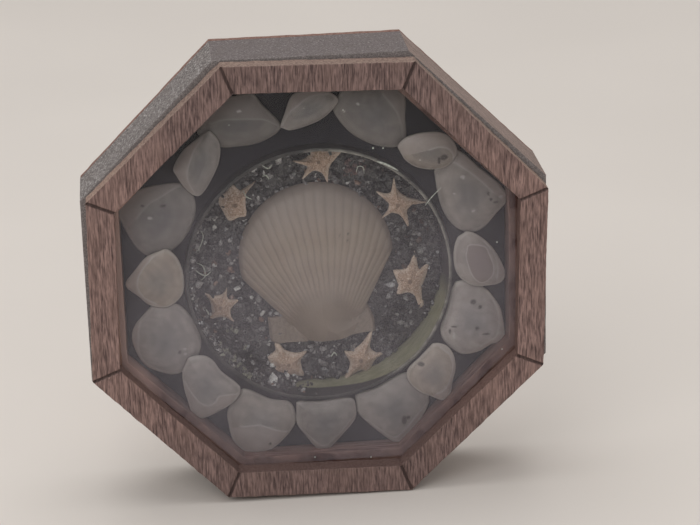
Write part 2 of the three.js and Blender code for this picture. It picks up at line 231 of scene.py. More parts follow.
def seen_at(pixels, depth):
    """Points (x, z) at which the photograph's rays through these pixels reach y = depth."""
    place, axes = camera_axes()
    pixels = np.atleast_2d(np.asarray(pixels, float))
    right = (pixels[:, 0] - PHOTO_WIDTH / 2) / FOCAL_PIXELS
    down = (pixels[:, 1] - PHOTO_HEIGHT / 2) / FOCAL_PIXELS
    rays = right[:, None] * axes[0] - down[:, None] * axes[1] - axes[2]
    share = (depth - place[1]) / rays[:, 1]
    hits = place + share[:, None] * rays
    return hits[:, [0, 2]]


def upright(flat):
    """The same (x, z) points as (x, 0, z)."""
    return np.column_stack([flat[:, 0], np.zeros(len(flat)), flat[:, 1]])


def distance_to_line(points, line):
    """Distance of each (x, z) point from a line of several straight stretches."""
    nearest = np.full(len(points), 1e9)
    for start, end in zip(line[:-1], line[1:]):
        along = end - start
        share = np.clip(((points - start) @ along) / max(along @ along, 1e-12), 0, 1)
        nearest = np.minimum(nearest, np.hypot(*(points - start - share[:, None] * along).T))
    return nearest


def smooth_line(line, steps=8):
    """The same line with a soft curve through its points."""
    line = np.asarray(line, float)
    if len(line) < 3:
        return line
    padded = np.vstack([2 * line[0] - line[1], line, 2 * line[-1] - line[-2]])
    curve = []
    for a, b, c, d in zip(padded[:-3], padded[1:-2], padded[2:-1], padded[3:]):
        for step in range(steps):
            t = step / steps
            bend = (2 * a - 5 * b + 4 * c - d) * t**2 + (3 * b - a - 3 * c + d) * t**3
            curve.append(0.5 * (2 * b + (c - a) * t + bend))
    curve.append(line[-1])
    return np.array(curve)


def add_piece(name, points, faces, material, node=None, marks=None, smooth=True):
    """A mesh piece that rides on the box, stands for node and carries marks as point values."""
    mesh = bpy.data.meshes.new(name)
    faces = [tuple(map(int, face)) for face in faces]
    mesh.from_pydata([tuple(point) for point in points], [], faces)
    builder = bmesh.new()
    builder.from_mesh(mesh)
    bmesh.ops.recalc_face_normals(builder, faces=builder.faces)
    builder.to_mesh(mesh)
    builder.free()
    for mark, values in (marks or {}).items():
        kind = "FLOAT_COLOR" if np.ndim(values) == 2 else "FLOAT"
        layer = mesh.attributes.new(mark, kind, "POINT")
        field = "color" if kind == "FLOAT_COLOR" else "value"
        layer.data.foreach_set(field, np.asarray(values, np.float32).ravel())
    mesh.polygons.foreach_set("use_smooth", [smooth] * len(mesh.polygons))
    mesh.materials.append(material)
    piece = bpy.data.objects.new(name, mesh)
    bpy.context.scene.collection.objects.link(piece)
    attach(piece, "root")
    if node:
        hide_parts(node)
    return piece


def dress_node(node, material):
    """A CAD node that keeps its own shape gets a material."""
    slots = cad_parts[node].data.materials
    slots.clear()
    slots.append(material)


def node_points(node):
    """Points of a CAD node, one row each."""
    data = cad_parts[node].data
    points = np.zeros(len(data.vertices) * 3)
    data.vertices.foreach_get("co", points)
    return points.reshape(-1, 3)


# Octagonal rings and slabs


def octagon_reach(points, turn=0.0):
    """How far out each (x, z) point lies, measured to the flats of an octagon."""
    x, z = points[:, 0], points[:, 1] - MIDDLE_Z
    angles = turn + np.arange(8) * math.pi / 4
    return np.max(x[:, None] * np.cos(angles) + z[:, None] * np.sin(angles), axis=1)


def octagon_path(steps, crowd, turn=0.0):
    """Points round an octagon whose flats are one metre out, and each one's distance from the
    nearest corner as a share of a side. crowd above 1 gathers the points at the corners."""
    share = np.arange(steps) / steps
    centred = 2 * share - 1
    share = (np.sign(centred) * (1 - (1 - abs(centred)) ** crowd) + 1) / 2
    path, from_corner, outward = [], [], []
    size = 1 / math.cos(math.pi / 8)
    for side in range(8):
        middle = turn + side * math.pi / 4
        before, after = middle - math.pi / 8, middle + math.pi / 8
        start = size * np.array([math.cos(before), math.sin(before)])
        end = size * np.array([math.cos(after), math.sin(after)])
        path.append(start + share[:, None] * (end - start))
        from_corner.append(np.minimum(share, 1 - share))
        outward.append(np.tile([math.cos(middle), math.sin(middle)], (steps, 1)))
    return np.vstack(path), np.concatenate(from_corner), np.vstack(outward)


def profile_points(corners, step, ease_radius):
    """A closed section of (out, depth) corners as closely spaced points, each with its outward
    normal. Every corner is rounded by ease_radius."""
    corners = np.array(corners, float)
    places, normals = [], []
    count = len(corners)
    for i in range(count):
        before, here, after = corners[i - 1], corners[i], corners[(i + 1) % count]
        come = (here - before) / np.linalg.norm(here - before)
        leave = (after - here) / np.linalg.norm(after - here)
        side_in, side_out = np.array([come[1], -come[0]]), np.array([leave[1], -leave[0]])
        for share in (0.0, 0.33, 0.67, 1.0):
            bend = (here - come * ease_radius) * (1 - share) ** 2
            bend = bend + here * 2 * share * (1 - share) + (here + leave * ease_radius) * share**2
            normal = side_in * (1 - share) + side_out * share
            places.append(bend)
            normals.append(normal / np.linalg.norm(normal))
        run = np.linalg.norm(after - here) - 2 * ease_radius
        between = max(0, int(run / step) - 1)
        for k in range(1, between + 1):
            places.append(here + leave * (ease_radius + run * k / (between + 1)))
            normals.append(side_out)
    return np.array(places), np.array(normals)


def sweep_octagon(profile, normals, path, outward):
    """Points of a section swept round an octagon, row by row, with their normals."""
    rows, columns = len(path), len(profile)
    out = np.tile(profile[:, 0], rows)
    depth = np.tile(profile[:, 1], rows)
    around = np.repeat(path, columns, axis=0)
    points = np.column_stack([around[:, 0] * out, depth, around[:, 1] * out + MIDDLE_Z])
    facing = np.repeat(outward, columns, axis=0) * np.tile(normals[:, 0], rows)[:, None]
    turned = np.column_stack([facing[:, 0], np.tile(normals[:, 1], rows), facing[:, 1]])
    return points, turned


def make_frame_piece():
    """Front frame: one flat board with upright grain, wavy sawn edges and scored corners."""
    look = sizes()
    raw = node_points("front_frame")
    reach = np.hypot(raw[:, 0], raw[:, 2] - MIDDLE_Z)
    corner = raw[np.argmax(reach)]
    angle = math.atan2(corner[2] - MIDDLE_Z, corner[0])
    turn = angle % (math.pi / 4) - math.pi / 8
    outs = octagon_reach(raw[:, [0, 2]], turn)
    inner, outer = outs.min(), outs.max()
    section = [(outer, RING_LOW.y), (outer, RING_HIGH.y), (inner, RING_HIGH.y), (inner, RING_LOW.y)]
    profile, normals = profile_points(section, 0.3 * MM, 0.14 * MM)
    path, from_corner, outward = octagon_path(FRAME_STEPS, 1.7, turn)
    points, facing = sweep_octagon(profile, normals, path, outward)
    columns = len(profile)
    out = np.tile(profile[:, 0], len(path))
    front = ease(-facing[:, 1], 0.5, 0.95)
    streaks = rough(points, (0.42 * MM, 0.6 * MM, 4.5 * MM), 3)
    saw = rough(points, (1.6 * MM, 3 * MM, 1.6 * MM), 9)
    grain = streaks * look.wood_relief * (0.25 + 0.75 * front)
    wobble = saw * look.edge_wobble * (1 - front)
    side = 2 * out * math.tan(math.pi / 8)
    away = np.repeat(from_corner, columns) * side
    half_side = np.repeat(np.arange(len(path)) // (FRAME_STEPS // 2), columns)
    sway = rough(np.column_stack([out, out * 0, half_side]), (1.5 * MM, 1, 1), 5)
    middle = abs(away + sway * 0.1 * MM)
    groove = 1 - ease(middle, 0.2 * look.score_width, 0.62 * look.score_width)
    groove = groove * ease(-facing[:, 1], 0.2, 0.8)
    sink = groove * look.score_depth
    points = points + facing * (grain + wobble)[:, None]
    points[:, 1] = np.clip(points[:, 1] + sink, RING_LOW.y, RING_HIGH.y)
    inner_side = (1 - front) * (out < (inner + outer) / 2)
    marks = {
        "groove": groove, "side_face": 1 - front, "inner_side": inner_side, "grain": streaks}
    add_piece("front_frame_board", points, grid_faces(len(path), columns, True, True),
              frame_wood(), "front_frame", marks)


def make_wall_piece():
    """Wall of the box: rough outer flats, a rebate for the pane and a step for the board."""
    front, back = WALL_LOW.y, WALL_HIGH.y
    pane_seat = PANE_HIGH.y + GAP
    board_seat = BOARD_HIGH.y + GAP
    section = [
        (WALL_OUT, front), (WALL_OUT, back), (LEDGE_OUT, back), (LEDGE_OUT, board_seat),
        (OPENING_OUT, board_seat), (OPENING_OUT, pane_seat), (REBATE_OUT, pane_seat),
        (REBATE_OUT, front),
    ]
    profile, normals = profile_points(section, 0.5 * MM, 0.16 * MM)
    path, _, outward = octagon_path(WALL_STEPS, 1.3)
    points, facing = sweep_octagon(profile, normals, path, outward)
    outside = ease(np.tile(profile[:, 0], len(path)), OPENING_OUT + 4 * MM, WALL_OUT - 0.5 * MM)
    sanded = rough(points, (0.7 * MM, 0.7 * MM, 0.7 * MM), 11)
    layers = rough(points, (6 * MM, 0.8 * MM, 6 * MM), 13)
    depth = np.minimum(0, sanded * 0.03 * MM + layers * 0.05 * MM - 0.02 * MM)
    points = points + facing * depth[:, None] * (0.35 + 0.65 * outside)[:, None]
    add_piece("wall_wood", points, grid_faces(len(path), len(profile), True, True),
              wall_wood(), "box_wall", {"outside": outside})


def make_back_piece():
    """Thin back board with eased edges."""
    low, high = BACK_LOW.y, BACK_HIGH.y
    steps = np.linspace(0.06, 0.96, 24)
    front_face = [(WALL_OUT * share, low) for share in steps]
    back_face = [(WALL_OUT * share, high) for share in steps[::-1]]
    edge = 0.2 * MM
    section = front_face + [
        (WALL_OUT - edge, low), (WALL_OUT, low + edge), (WALL_OUT, (low + high) / 2),
        (WALL_OUT, high - edge), (WALL_OUT - edge, high)] + back_face
    profile = np.array(section)
    path, _, outward = octagon_path(BACK_STEPS, 1.0)
    points, _ = sweep_octagon(profile, np.zeros_like(profile), path, outward)
    rows, columns = len(path), len(profile)
    rim = ease(np.tile(profile[:, 0], rows), WALL_OUT - 2 * edge, WALL_OUT)
    ragged = rough(points, (1.5 * MM, 1 * MM, 1.5 * MM), 17) * 0.1 * MM - 0.06 * MM
    inward = (np.minimum(0, ragged) * rim)[:, None] * np.repeat(outward, columns, axis=0)
    points[:, [0, 2]] += inward
    faces = [tuple(face) for face in grid_faces(rows, columns, True, False)]
    faces.append(tuple(range(0, rows * columns, columns)))
    faces.append(tuple(range(columns - 1, rows * columns, columns)))
    add_piece("back_board_wood", points, faces, back_wood(), "back_board")


# The well and its sand


def make_well_piece():
    """Thin round wall of the well with an uneven rim."""
    section = [(WELL_OUTER, WELL_LOW.y), (WELL_OUTER, WELL_HIGH.y),
               (WELL_INNER, WELL_HIGH.y), (WELL_INNER, WELL_LOW.y)]
    profile, _ = profile_points(section, 0.5 * MM, 0.12 * MM)
    count = WELL_STEPS
    angles = np.arange(count) * 2 * math.pi / count
    columns = len(profile)
    out = np.tile(profile[:, 0], count)
    depth = np.tile(profile[:, 1], count)
    around = np.repeat(angles, columns)
    flat = np.column_stack([out * np.cos(around), depth * 0, out * np.sin(around)])
    nick = rough(flat, (2.2 * MM, 1, 2.2 * MM), 21) * 0.16 * MM + 0.1 * MM
    rim = 1 - ease(depth, WELL_LOW.y, WELL_LOW.y + 2.5 * MM)
    sway = rough(flat, (9 * MM, 1, 9 * MM), 23) * 0.12 * MM
    out = out + sway
    points = np.column_stack([WELL_X + out * np.cos(around), depth + np.maximum(0, nick) * rim,
                              WELL_Z + out * np.sin(around)])
    # the deep part is pale green to the lower right, with a dark band between it and the rim that
    # narrows to the right
    degrees = np.degrees(around)
    torn = rough(flat + [0, 1, 0], (3 * MM, 1, 3 * MM), 25)
    round_it = np.where(degrees < 90, degrees + 360, degrees)
    green = ease(round_it + 3 * torn, 255, 260) * (1 - ease(round_it, 342, 356))
    band = 4.9 * MM * (1 - ease(round_it, 272, 312)) + 0.25 * MM * torn
    green = green * ease(depth - WELL_LOW.y - band, -0.2 * MM, 0.3 * MM)
    inside = 1 - ease(np.tile(profile[:, 0], count), WELL_INNER + 0.2 * MM, WELL_OUTER)
    lit = 0.12 + 0.6 * ((degrees < 95) | (degrees > 300))
    rim_line = (1 - ease(depth, WELL_LOW.y, WELL_LOW.y + 0.3 * MM)) * inside
    rim_line = rim_line * lit * (0.75 + 0.5 * torn)
    marks = {"green": green * inside, "rim": rim_line}
    add_piece("well_side", points, grid_faces(count, columns, True, True), well_side(),
              "well_ring", marks)


def grain_template():
    """Corners and faces of one rough grain: a twenty-sided ball of unit radius."""
    ball = bmesh.new()
    bmesh.ops.create_icosphere(ball, subdivisions=1, radius=1.0)
    corners = np.array([corner.co for corner in ball.verts])
    faces = np.array([[corner.index for corner in face.verts] for face in ball.faces])
    ball.free()
    return corners, faces


def scatter_grains(name, places, widths, tones, seed):
    """Many angular grains in one mesh, each stretched and turned its own way."""
    corners, faces = grain_template()
    random = np.random.default_rng(seed)
    count = len(places)
    stretch = random.uniform(0.5, 1.35, (count, 1, 3))
    jag = random.uniform(0.62, 1.2, (count, len(corners), 1))
    shapes = corners[None] * jag * stretch * (widths / 2)[:, None, None]
    turns = random.normal(size=(count, 4))
    turns /= np.linalg.norm(turns, axis=1)[:, None]
    w, x, y, z = turns.T
    rotation = np.stack([
        1 - 2 * (y * y + z * z), 2 * (x * y - z * w), 2 * (x * z + y * w),
        2 * (x * y + z * w), 1 - 2 * (x * x + z * z), 2 * (y * z - x * w),
        2 * (x * z - y * w), 2 * (y * z + x * w), 1 - 2 * (x * x + y * y)], axis=-1)
    rotation = rotation.reshape(count, 3, 3)
    points = np.einsum("nij,nkj->nki", rotation, shapes) + places[:, None]
    all_faces = (faces[None] + (np.arange(count) * len(corners))[:, None, None]).reshape(-1, 3)
    tone = np.repeat(tones, len(corners), axis=0)
    return add_piece(name, points.reshape(-1, 3), all_faces, sand_grains(),
                     marks={"tone": tone}, smooth=False)


def sand_top(x, z):
    """Depth of the sand's surface, with soft lumps and heaps against the side of the well."""
    flat = np.column_stack([x, np.zeros_like(x), z])
    lumps = rough(flat, (4 * MM, 1, 4 * MM), 31) * 0.5 * MM
    away = np.hypot(x - WELL_X, z - WELL_Z) / WELL_INNER
    angle = np.degrees(np.arctan2(z - WELL_Z, x - WELL_X)) % 360
    heaped = ease(angle, 140, 195) * (1 - ease(angle, 248, 268))
    heap = (ease(away, 0.8, 1.0) * 0.6 + ease(away, 0.9, 0.99) * 5.4 * heaped) * MM
    return SAND_LOW.y + 0.5 * MM - lumps - heap


def make_sand_piece():
    """Bed of sand with several thousand separate grains on it."""
    random = np.random.default_rng(41)
    rings, spokes = SAND_RINGS, SAND_SPOKES
    share = (np.arange(rings) + 1) / rings
    angles = np.arange(spokes) * 2 * math.pi / spokes
    radius = WELL_INNER - GAP
    x = WELL_X + radius * share[:, None] * np.cos(angles)
    z = WELL_Z + radius * share[:, None] * np.sin(angles)
    top = np.column_stack([x.ravel(), sand_top(x.ravel(), z.ravel()), z.ravel()])
    points = np.vstack([top, [[WELL_X, SAND_LOW.y, WELL_Z]],
                        np.column_stack([x[-1], np.full(spokes, SAND_HIGH.y), z[-1]]),
                        [[WELL_X, SAND_HIGH.y, WELL_Z]]])
    faces = [tuple(face) for face in grid_faces(rings, spokes, False, True)]
    centre, low, under = rings * spokes, rings * spokes + 1, rings * spokes + 1 + spokes
    outer = (rings - 1) * spokes
    for i in range(spokes):
        j = (i + 1) % spokes
        faces.append((centre, i, j))
        faces.append((outer + i, outer + j, low + j, low + i))
        faces.append((low + i, low + j, under))
    tone = np.tile([*colours().sand_dark, 1], (len(points), 1))
    add_piece("sand_bed_body", points, faces, sand_grains(), "sand_bed",
              {"tone": tone})
    wide = sizes().sand_grain
    spread = radius * np.sqrt(random.uniform(0, 1, LOOSE_GRAINS))
    angle = random.uniform(0, 2 * math.pi, LOOSE_GRAINS)
    x, z = WELL_X + spread * np.cos(angle), WELL_Z + spread * np.sin(angle)
    covered = np.hypot(x - SCALLOP_MIDDLE[0], z - SCALLOP_MIDDLE[1]) < SCALLOP_RADIUS * 0.86
    x, z = x[~covered], z[~covered]
    widths = wide * random.lognormal(-0.08, 0.36, len(x))
    depth = sand_top(x, z) - random.uniform(-0.15, 0.65, len(x)) * wide
    tones = grain_tones(random, len(x), x, z)
    scatter_grains("sand_grains", np.column_stack([x, depth, z]), widths, tones, 43)
    heap_up_grains(random)


def heap_up_grains(random):
    """Grains heaped up the side of the well to its rim, at the lower left."""
    wide, count = sizes().sand_grain, HEAPED_GRAINS
    turn = np.radians(random.triangular(*HEAP_ANGLES, count))
    out = WELL_INNER - random.uniform(0.1, 0.9, count) * MM
    x, z = WELL_X + out * np.cos(turn), WELL_Z + out * np.sin(turn)
    depth = random.uniform(WELL_LOW.y + 0.4 * MM, SAND_LOW.y, count)
    widths = wide * random.lognormal(-0.15, 0.3, count)
    tones = grain_tones(random, count, x, z)
    scatter_grains("heaped_grains", np.column_stack([x, depth, z]), widths, tones, 44)


def grain_tones(random, count, x, z):
    """Colour of each grain: mostly black, some grey, a few pale, brown and pink, with painted shade
    on the right of the well and in a few patches.
    """
    look = colours()
    pick = random.uniform(0, 1, count)
    dark, pale = np.array(look.sand_dark), np.array(look.sand_pale)
    tones = dark + (pale - dark) * (random.uniform(0, 1, count) ** 3.4)[:, None]
    pinkish = np.hypot(x - PINK_PATCH[0], z - PINK_PATCH[1]) < 3.2 * MM
    olive = np.hypot(x - OLIVE_PATCH[0], z - OLIVE_PATCH[1]) < 5 * MM
    tones[pick > 0.93] = PALE_GRAIN
    tones[(pick > 0.90) & (pick < 0.925)] = BROWN_GRAIN
    # painted shade: grains on the right of the well are darkened
    tones[x > WELL_X + 0.4 * WELL_INNER] *= 0.4
    tones[olive & (pick > 0.7)] = OLIVE_GRAIN
    tones[pinkish & (pick > 0.4)] = PINK_GRAIN
    # painted shadow: grains in these patches are made black
    for spot in SHADOW_PATCHES:
        tones[np.hypot(x - spot[0], z - spot[1]) < 2.3 * MM] = dark
    return np.column_stack([tones, np.ones(count)])


# Scallop. Its own x runs along the hinge and its own z from the hinge to the top of the fan. The
# patches of sand are (x, z) places near it.

SCALLOP_RADIUS = (SCALLOP_HIGH.x - SCALLOP_LOW.x) / 2
SCALLOP_TURN = math.radians(4.5)
SCALLOP_MIDDLE = (WELL_X, SCALLOP_HIGH.z - SCALLOP_RADIUS)
SCALLOP_BASE = SAND_LOW.y - GAP
DISC_UP = SCALLOP_RADIUS * 1.15  # hinge line to the middle of the disc
UMBO_UP = SCALLOP_RADIUS * 0.34  # hinge line to the middle of the ears
EAR_REACH = SCALLOP_RADIUS * 0.72
EAR_TOP = SCALLOP_RADIUS * 0.39
SIDE_REACH = SCALLOP_RADIUS * 0.89  # middle of the disc to each straight side of the fan
SIDE_SLOPES = (math.radians(38), math.radians(30))  # left and right side, from the upright
RIB_CENTRE = SCALLOP_RADIUS * np.array([0.035, -0.195])
RIB_SPAN = (math.radians(-53), math.radians(41))
PINK_PATCH = seen_at([(352, 168)], SAND_LOW.y)[0]
OLIVE_PATCH = seen_at([(232, 347)], SAND_LOW.y)[0]
# painted shadow: places where the sand is made black, beside a starfish and along the right of the
# well
SHADOW_PATCHES = seen_at([(377, 178), (437, 240), (438, 270), (434, 292)], SAND_LOW.y)

# Grains of sand, linear red, green and blue
PALE_GRAIN = (0.55, 0.54, 0.53)
BROWN_GRAIN = (0.20, 0.12, 0.09)
OLIVE_GRAIN = (0.20, 0.20, 0.155)
PINK_GRAIN = (0.17, 0.11, 0.105)

# Small dark pits in the scallop, in pixels of the photograph
SCALLOP_PITS = [(339, 234.5), (347.5, 233.5), (347.5, 238.5)]


def reach_of_side(directions, start, normal, far):
    """Distance from start along each direction to a straight side, given by its normal and by
    how far it lies from the middle of the disc."""
    along = directions @ np.asarray(normal)
    left_over = far - (start - np.array([0, DISC_UP])) @ np.asarray(normal)
    return np.where(along > 1e-6, left_over / np.maximum(along, 1e-6), 1e9)


def scallop_outline(count, ears):
    """The fan's outline round the umbo, with its ears or without, evenly spaced."""
    turn = np.linspace(-math.pi, math.pi, 2000, endpoint=False)
    directions = np.column_stack([np.sin(turn), np.cos(turn)])
    start = np.array([0, UMBO_UP])
    down = DISC_UP - UMBO_UP
    disc = down * directions[:, 1] + np.sqrt(SCALLOP_RADIUS**2 - (down * directions[:, 0]) ** 2)
    left, right = SIDE_SLOPES
    left_side = reach_of_side(directions, start, (-math.cos(left), -math.sin(left)), SIDE_REACH)
    right_side = reach_of_side(directions, start, (math.cos(right), -math.sin(right)), SIDE_REACH)
    hinge = reach_of_side(directions, start, (0, -1), DISC_UP + (0 if ears else 2.5 * MM))
    upward = directions[:, 1] > -0.3
    fan = np.minimum(np.minimum(left_side, right_side), np.where(upward, disc, hinge))
    if not ears:
        return even_outline(start + directions * fan[:, None], count)
    tilt = 0.29  # the outer end of the right ear leans in towards the top
    ear = np.minimum.reduce([
        reach_of_side(directions, start, (-1, 0), EAR_REACH),
        reach_of_side(directions, start, (math.cos(tilt), math.sin(tilt)), EAR_REACH * 0.5),
        reach_of_side(directions, start, (1, 0), EAR_REACH * 0.92),
        reach_of_side(directions, start, (0, 1), EAR_TOP - DISC_UP),
        reach_of_side(directions, start, (-0.6, -0.8), EAR_REACH * 0.6 + DISC_UP * 0.76),
        hinge,
    ])
    return even_outline(start + directions * np.maximum(fan, ear)[:, None], count)


def even_outline(points, count):
    """Points at even steps along a closed outline."""
    closed = np.vstack([points, points[:1]])
    steps = np.hypot(*np.diff(closed, axis=0).T)
    along = np.concatenate([[0], np.cumsum(steps)])
    wanted = np.arange(count) * along[-1] / count
    return np.column_stack([np.interp(wanted, along, closed[:, 0]),
                            np.interp(wanted, along, closed[:, 1])])


def make_scallop_piece():
    """Scallop: a domed fan with fine ribs and growth lines over two flat ears."""
    look = sizes()
    outline = scallop_outline(FAN_SPOKES, True)
    fan_outline = scallop_outline(140, False)
    fan_closed = np.vstack([fan_outline, fan_outline[:1]])
    share = (np.arange(FAN_RINGS) + 1) / FAN_RINGS
    start = np.array([0, UMBO_UP])
    flat = (start + share[:, None, None] * (outline - start)).reshape(-1, 2)
    flat = np.vstack([flat, start])
    all_share = np.append(np.repeat(share, len(outline)), 0)
    inward = distance_to_line(flat, fan_closed)
    inward *= inside_outline(flat, fan_outline)
    turn = np.arctan2(flat[:, 0] - RIB_CENTRE[0], flat[:, 1] - RIB_CENTRE[1])
    phase = (turn - RIB_SPAN[0]) / (RIB_SPAN[1] - RIB_SPAN[0]) * look.scallop_ribs
    deep = upright(flat)
    phase += 0.12 * lattice_noise(deep / (4 * MM), 52)
    ridge = abs(np.sin(math.pi * phase)) ** 0.75
    strength = 0.65 + 0.35 * lattice_noise(np.column_stack([np.floor(phase) * 0.7] * 3), 53)
    from_umbo = np.hypot(*(flat - start).T)
    fade = ease(from_umbo, 3 * MM, 12 * MM) * ease(inward, 0, 0.8 * MM)
    relief = look.rib_height * ridge * strength * fade
    growth = np.sin(from_umbo / (0.9 * MM) + 1.5 * lattice_noise(deep / (5 * MM), 54))
    uneven = rough(deep, (5 * MM, 1, 5 * MM), 51)
    filled = np.clip(inward / SIDE_REACH, 0, 1)
    dome = (SCALLOP_BASE - SCALLOP_LOW.y - 1.3 * MM) * (1 - (1 - filled) ** 2.3) ** 0.85
    edge = 0.25 * MM + 0.7 * MM * (1 - ease(all_share, 0.95, 1.0))
    ear = 1 - ease(inward, 0, 0.3 * MM)
    swell = 1.1 * MM * (1 - ease(np.hypot(flat[:, 0], flat[:, 1] - 2 * MM), 3 * MM, 10 * MM))
    ear_rise = ear * (swell + 0.05 * MM * rough(deep, (1 * MM, 1, 1 * MM), 55))
    dome = np.maximum(dome, ear_rise)
    height = dome + edge + relief + 0.02 * MM * growth + 0.05 * MM * uneven
    under = np.maximum(0, dome - 0.3 * MM)
    placed = scallop_to_box(flat)
    pits = np.zeros(len(flat))
    for pit in seen_at(SCALLOP_PITS, SCALLOP_LOW.y + 1.5 * MM):
        away = np.hypot(*(placed - pit).T)
        pits = np.maximum(pits, 1 - ease(away, 0.12 * MM, 0.32 * MM))
    height = height - 0.15 * MM * pits
    marks = {"rib": ridge * fade, "ear": ear, "age": from_umbo / (2 * SCALLOP_RADIUS),
             "pit": pits}
    skin_piece("scallop_valve", "scallop_shell", scallop_shell(), placed,
               len(outline), FAN_RINGS, height, under, SCALLOP_BASE, marks)


def scallop_to_box(flat):
    """From the scallop's own x and z to those of the box."""
    c, s = math.cos(SCALLOP_TURN), math.sin(SCALLOP_TURN)
    x, z = flat[:, 0], flat[:, 1] - DISC_UP
    return np.column_stack([SCALLOP_MIDDLE[0] + x * c - z * s, SCALLOP_MIDDLE[1] + x * s + z * c])


def inside_outline(points, outline):
    """1 for each (x, z) point inside a closed outline and 0 outside."""
    inside = np.zeros(len(points), bool)
    for (ax, az), (bx, bz) in zip(outline, np.roll(outline, -1, axis=0)):
        crosses = (az > points[:, 1]) != (bz > points[:, 1])
        if az != bz:
            at = ax + (points[:, 1] - az) * (bx - ax) / (bz - az)
            inside ^= crosses & (points[:, 0] < at)
    return inside.astype(float)


def skin_piece(name, node, material, flat, spokes, rings, rise, under, base, marks):
    """A closed piece from rows of (x, z) points round a middle, the last of them. Its front skin
    rises over base by rise and its back skin by under."""
    top = np.column_stack([flat[:, 0], base - rise, flat[:, 1]])
    bottom = np.column_stack([flat[:, 0], base - under, flat[:, 1]])
    count = len(flat)
    quads = grid_faces(rings, spokes, False, True)
    faces = [tuple(face) for face in quads] + [tuple(face + count) for face in quads[:, ::-1]]
    last = (rings - 1) * spokes
    for i in range(spokes):
        j = (i + 1) % spokes
        faces.append((last + i, last + j, count + last + j, count + last + i))
        faces.append((count - 1, j, i))
        faces.append((2 * count - 1, count + i, count + j))
    values = {key: np.concatenate([value, value]) for key, value in marks.items()}
    return add_piece(name, np.vstack([top, bottom]), faces, material, node, values)


def outline_rows(outline, middle, rings, crowd=0.85):
    """Rows of points from a middle out to an outline, then the middle, and each one's share."""
    share = ((np.arange(rings) + 1) / rings) ** crowd
    flat = (middle + share[:, None, None] * (outline - middle)).reshape(-1, 2)
    return np.vstack([flat, middle]), np.append(np.repeat(share, len(outline)), 0)


def closed_curve(points, count):
    """A smooth closed outline through a few points, at even steps."""
    points = np.asarray(points, float)
    padded = np.vstack([points[-2:], points, points[:3]])
    curve = smooth_line(padded, 12)
    return even_outline(curve[24:-36], count)


# Starfish: the middle of each and the points of its outline, all in pixels of the photograph
STARFISH_OUTLINES = {
    "starfish_1": ((318, 160), [
        (292.5, 160.5), (301, 159.3), (308, 155), (311, 149), (309.5, 143), (314, 140),
        (319, 139.5), (325, 146), (333, 149), (341, 150.5), (335.5, 157.5), (329, 167),
        (327.5, 181.5),
        (323, 174), (319, 170.8), (312, 170.5), (302, 178.5), (306.5, 168), (306, 165)]),
    "starfish_2": ((397, 203), [
        (393.4, 175.7), (396, 186), (399.2, 191), (405, 195), (411, 197.5), (427.5, 201),
        (413.5, 203), (409, 206.5), (406.8, 211), (408.5, 221), (407.6, 225.3), (402.3, 217.3),
        (399, 213.7), (394.5, 212.4), (390, 212.3), (380.8, 218), (386.9, 210.2), (388.5, 206),
        (387.5, 201.5), (375.9, 190.8), (385, 192.6), (390, 191.6), (391.6, 187)]),
    "starfish_3": ((409, 279), [
        (414, 249.8), (416.5, 258), (418.7, 268.3), (424.5, 264), (428.3, 264.5), (425.5, 275),
        (422, 284.5), (421.5, 291), (423.3, 303.5), (419, 306), (416, 297.3), (409, 291.5),
        (398.7, 293.3), (396.5, 291.5), (397, 281), (393.2, 271.5), (394.2, 269), (403, 268.2),
        (409, 263.5), (412, 255)]),
    "starfish_4": ((360, 357), [
        (371.9, 329.6), (371.3, 336), (369.8, 346), (375, 351), (383, 352), (374, 359.8),
        (368.2, 370.5), (362, 369), (356, 371.3), (342.5, 380.3), (348.5, 368), (349.4, 361),
        (344.6, 352), (345.2, 349.8), (351, 349.8), (361, 342.5), (369, 332)]),
    "starfish_5": ((288, 361), [
        (267.5, 356.7), (275, 349.5), (274.5, 342.8), (279.5, 343.2), (285, 349), (296, 351.8),
        (306.3, 350.3), (301, 358), (301.2, 365), (303.4, 374.3), (292.5, 375.5), (286.5, 383.3),
        (281.3, 376.6), (269, 372.5), (272.5, 366)]),
    "starfish_6": ((220, 305), [
        (226.9, 286.7), (227, 296), (231, 298.8), (240, 298), (233.1, 304.8), (230.4, 309),
        (231, 315), (233.8, 320.6), (225.5, 316.8), (217, 316.3), (201, 322), (210.5, 314.5),
        (211.3, 307), (209, 299), (202.3, 289.6), (211, 294.2), (220.6, 293.9), (224.8, 290)]),
    "starfish_7": ((235, 203), [
        (255.9, 179.8), (248, 187), (245.6, 198), (245.7, 207), (247.3, 216.3), (239, 216.3),
        (229, 219.7), (222, 209), (216.8, 198), (225, 191.5), (231.8, 183.6), (239, 189.2),
        (243, 188)]),
}


def make_starfish_piece(node, number):
    """One starfish with a keel along each arm and a granular skin."""
    low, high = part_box(node)
    middle, pixels = STARFISH_OUTLINES[node]
    middle = seen_at([middle], high.y)[0]
    outline = closed_curve(seen_at(pixels, high.y), STARFISH_SPOKES)
    flat, share = outline_rows(outline, middle, STARFISH_RINGS)
    reach = np.hypot(*(flat - middle).T) / np.hypot(*(outline - middle).T).max()
    deep = upright(flat)
    beads = rough(deep, (0.36 * MM, 1, 0.36 * MM), 60 + number, 2)
    body = (high.y - low.y - 0.4 * MM) * (1 - share**2.2) ** 0.75 * (1 - 0.3 * reach)
    rise = 0.3 * MM + body + 0.07 * MM * beads * (share < 0.97)
    skin_piece(f"{node}_body", node, starfish_skin(), flat, len(outline),
               STARFISH_RINGS, rise, rise * 0, high.y, {"share": share, "reach": reach})
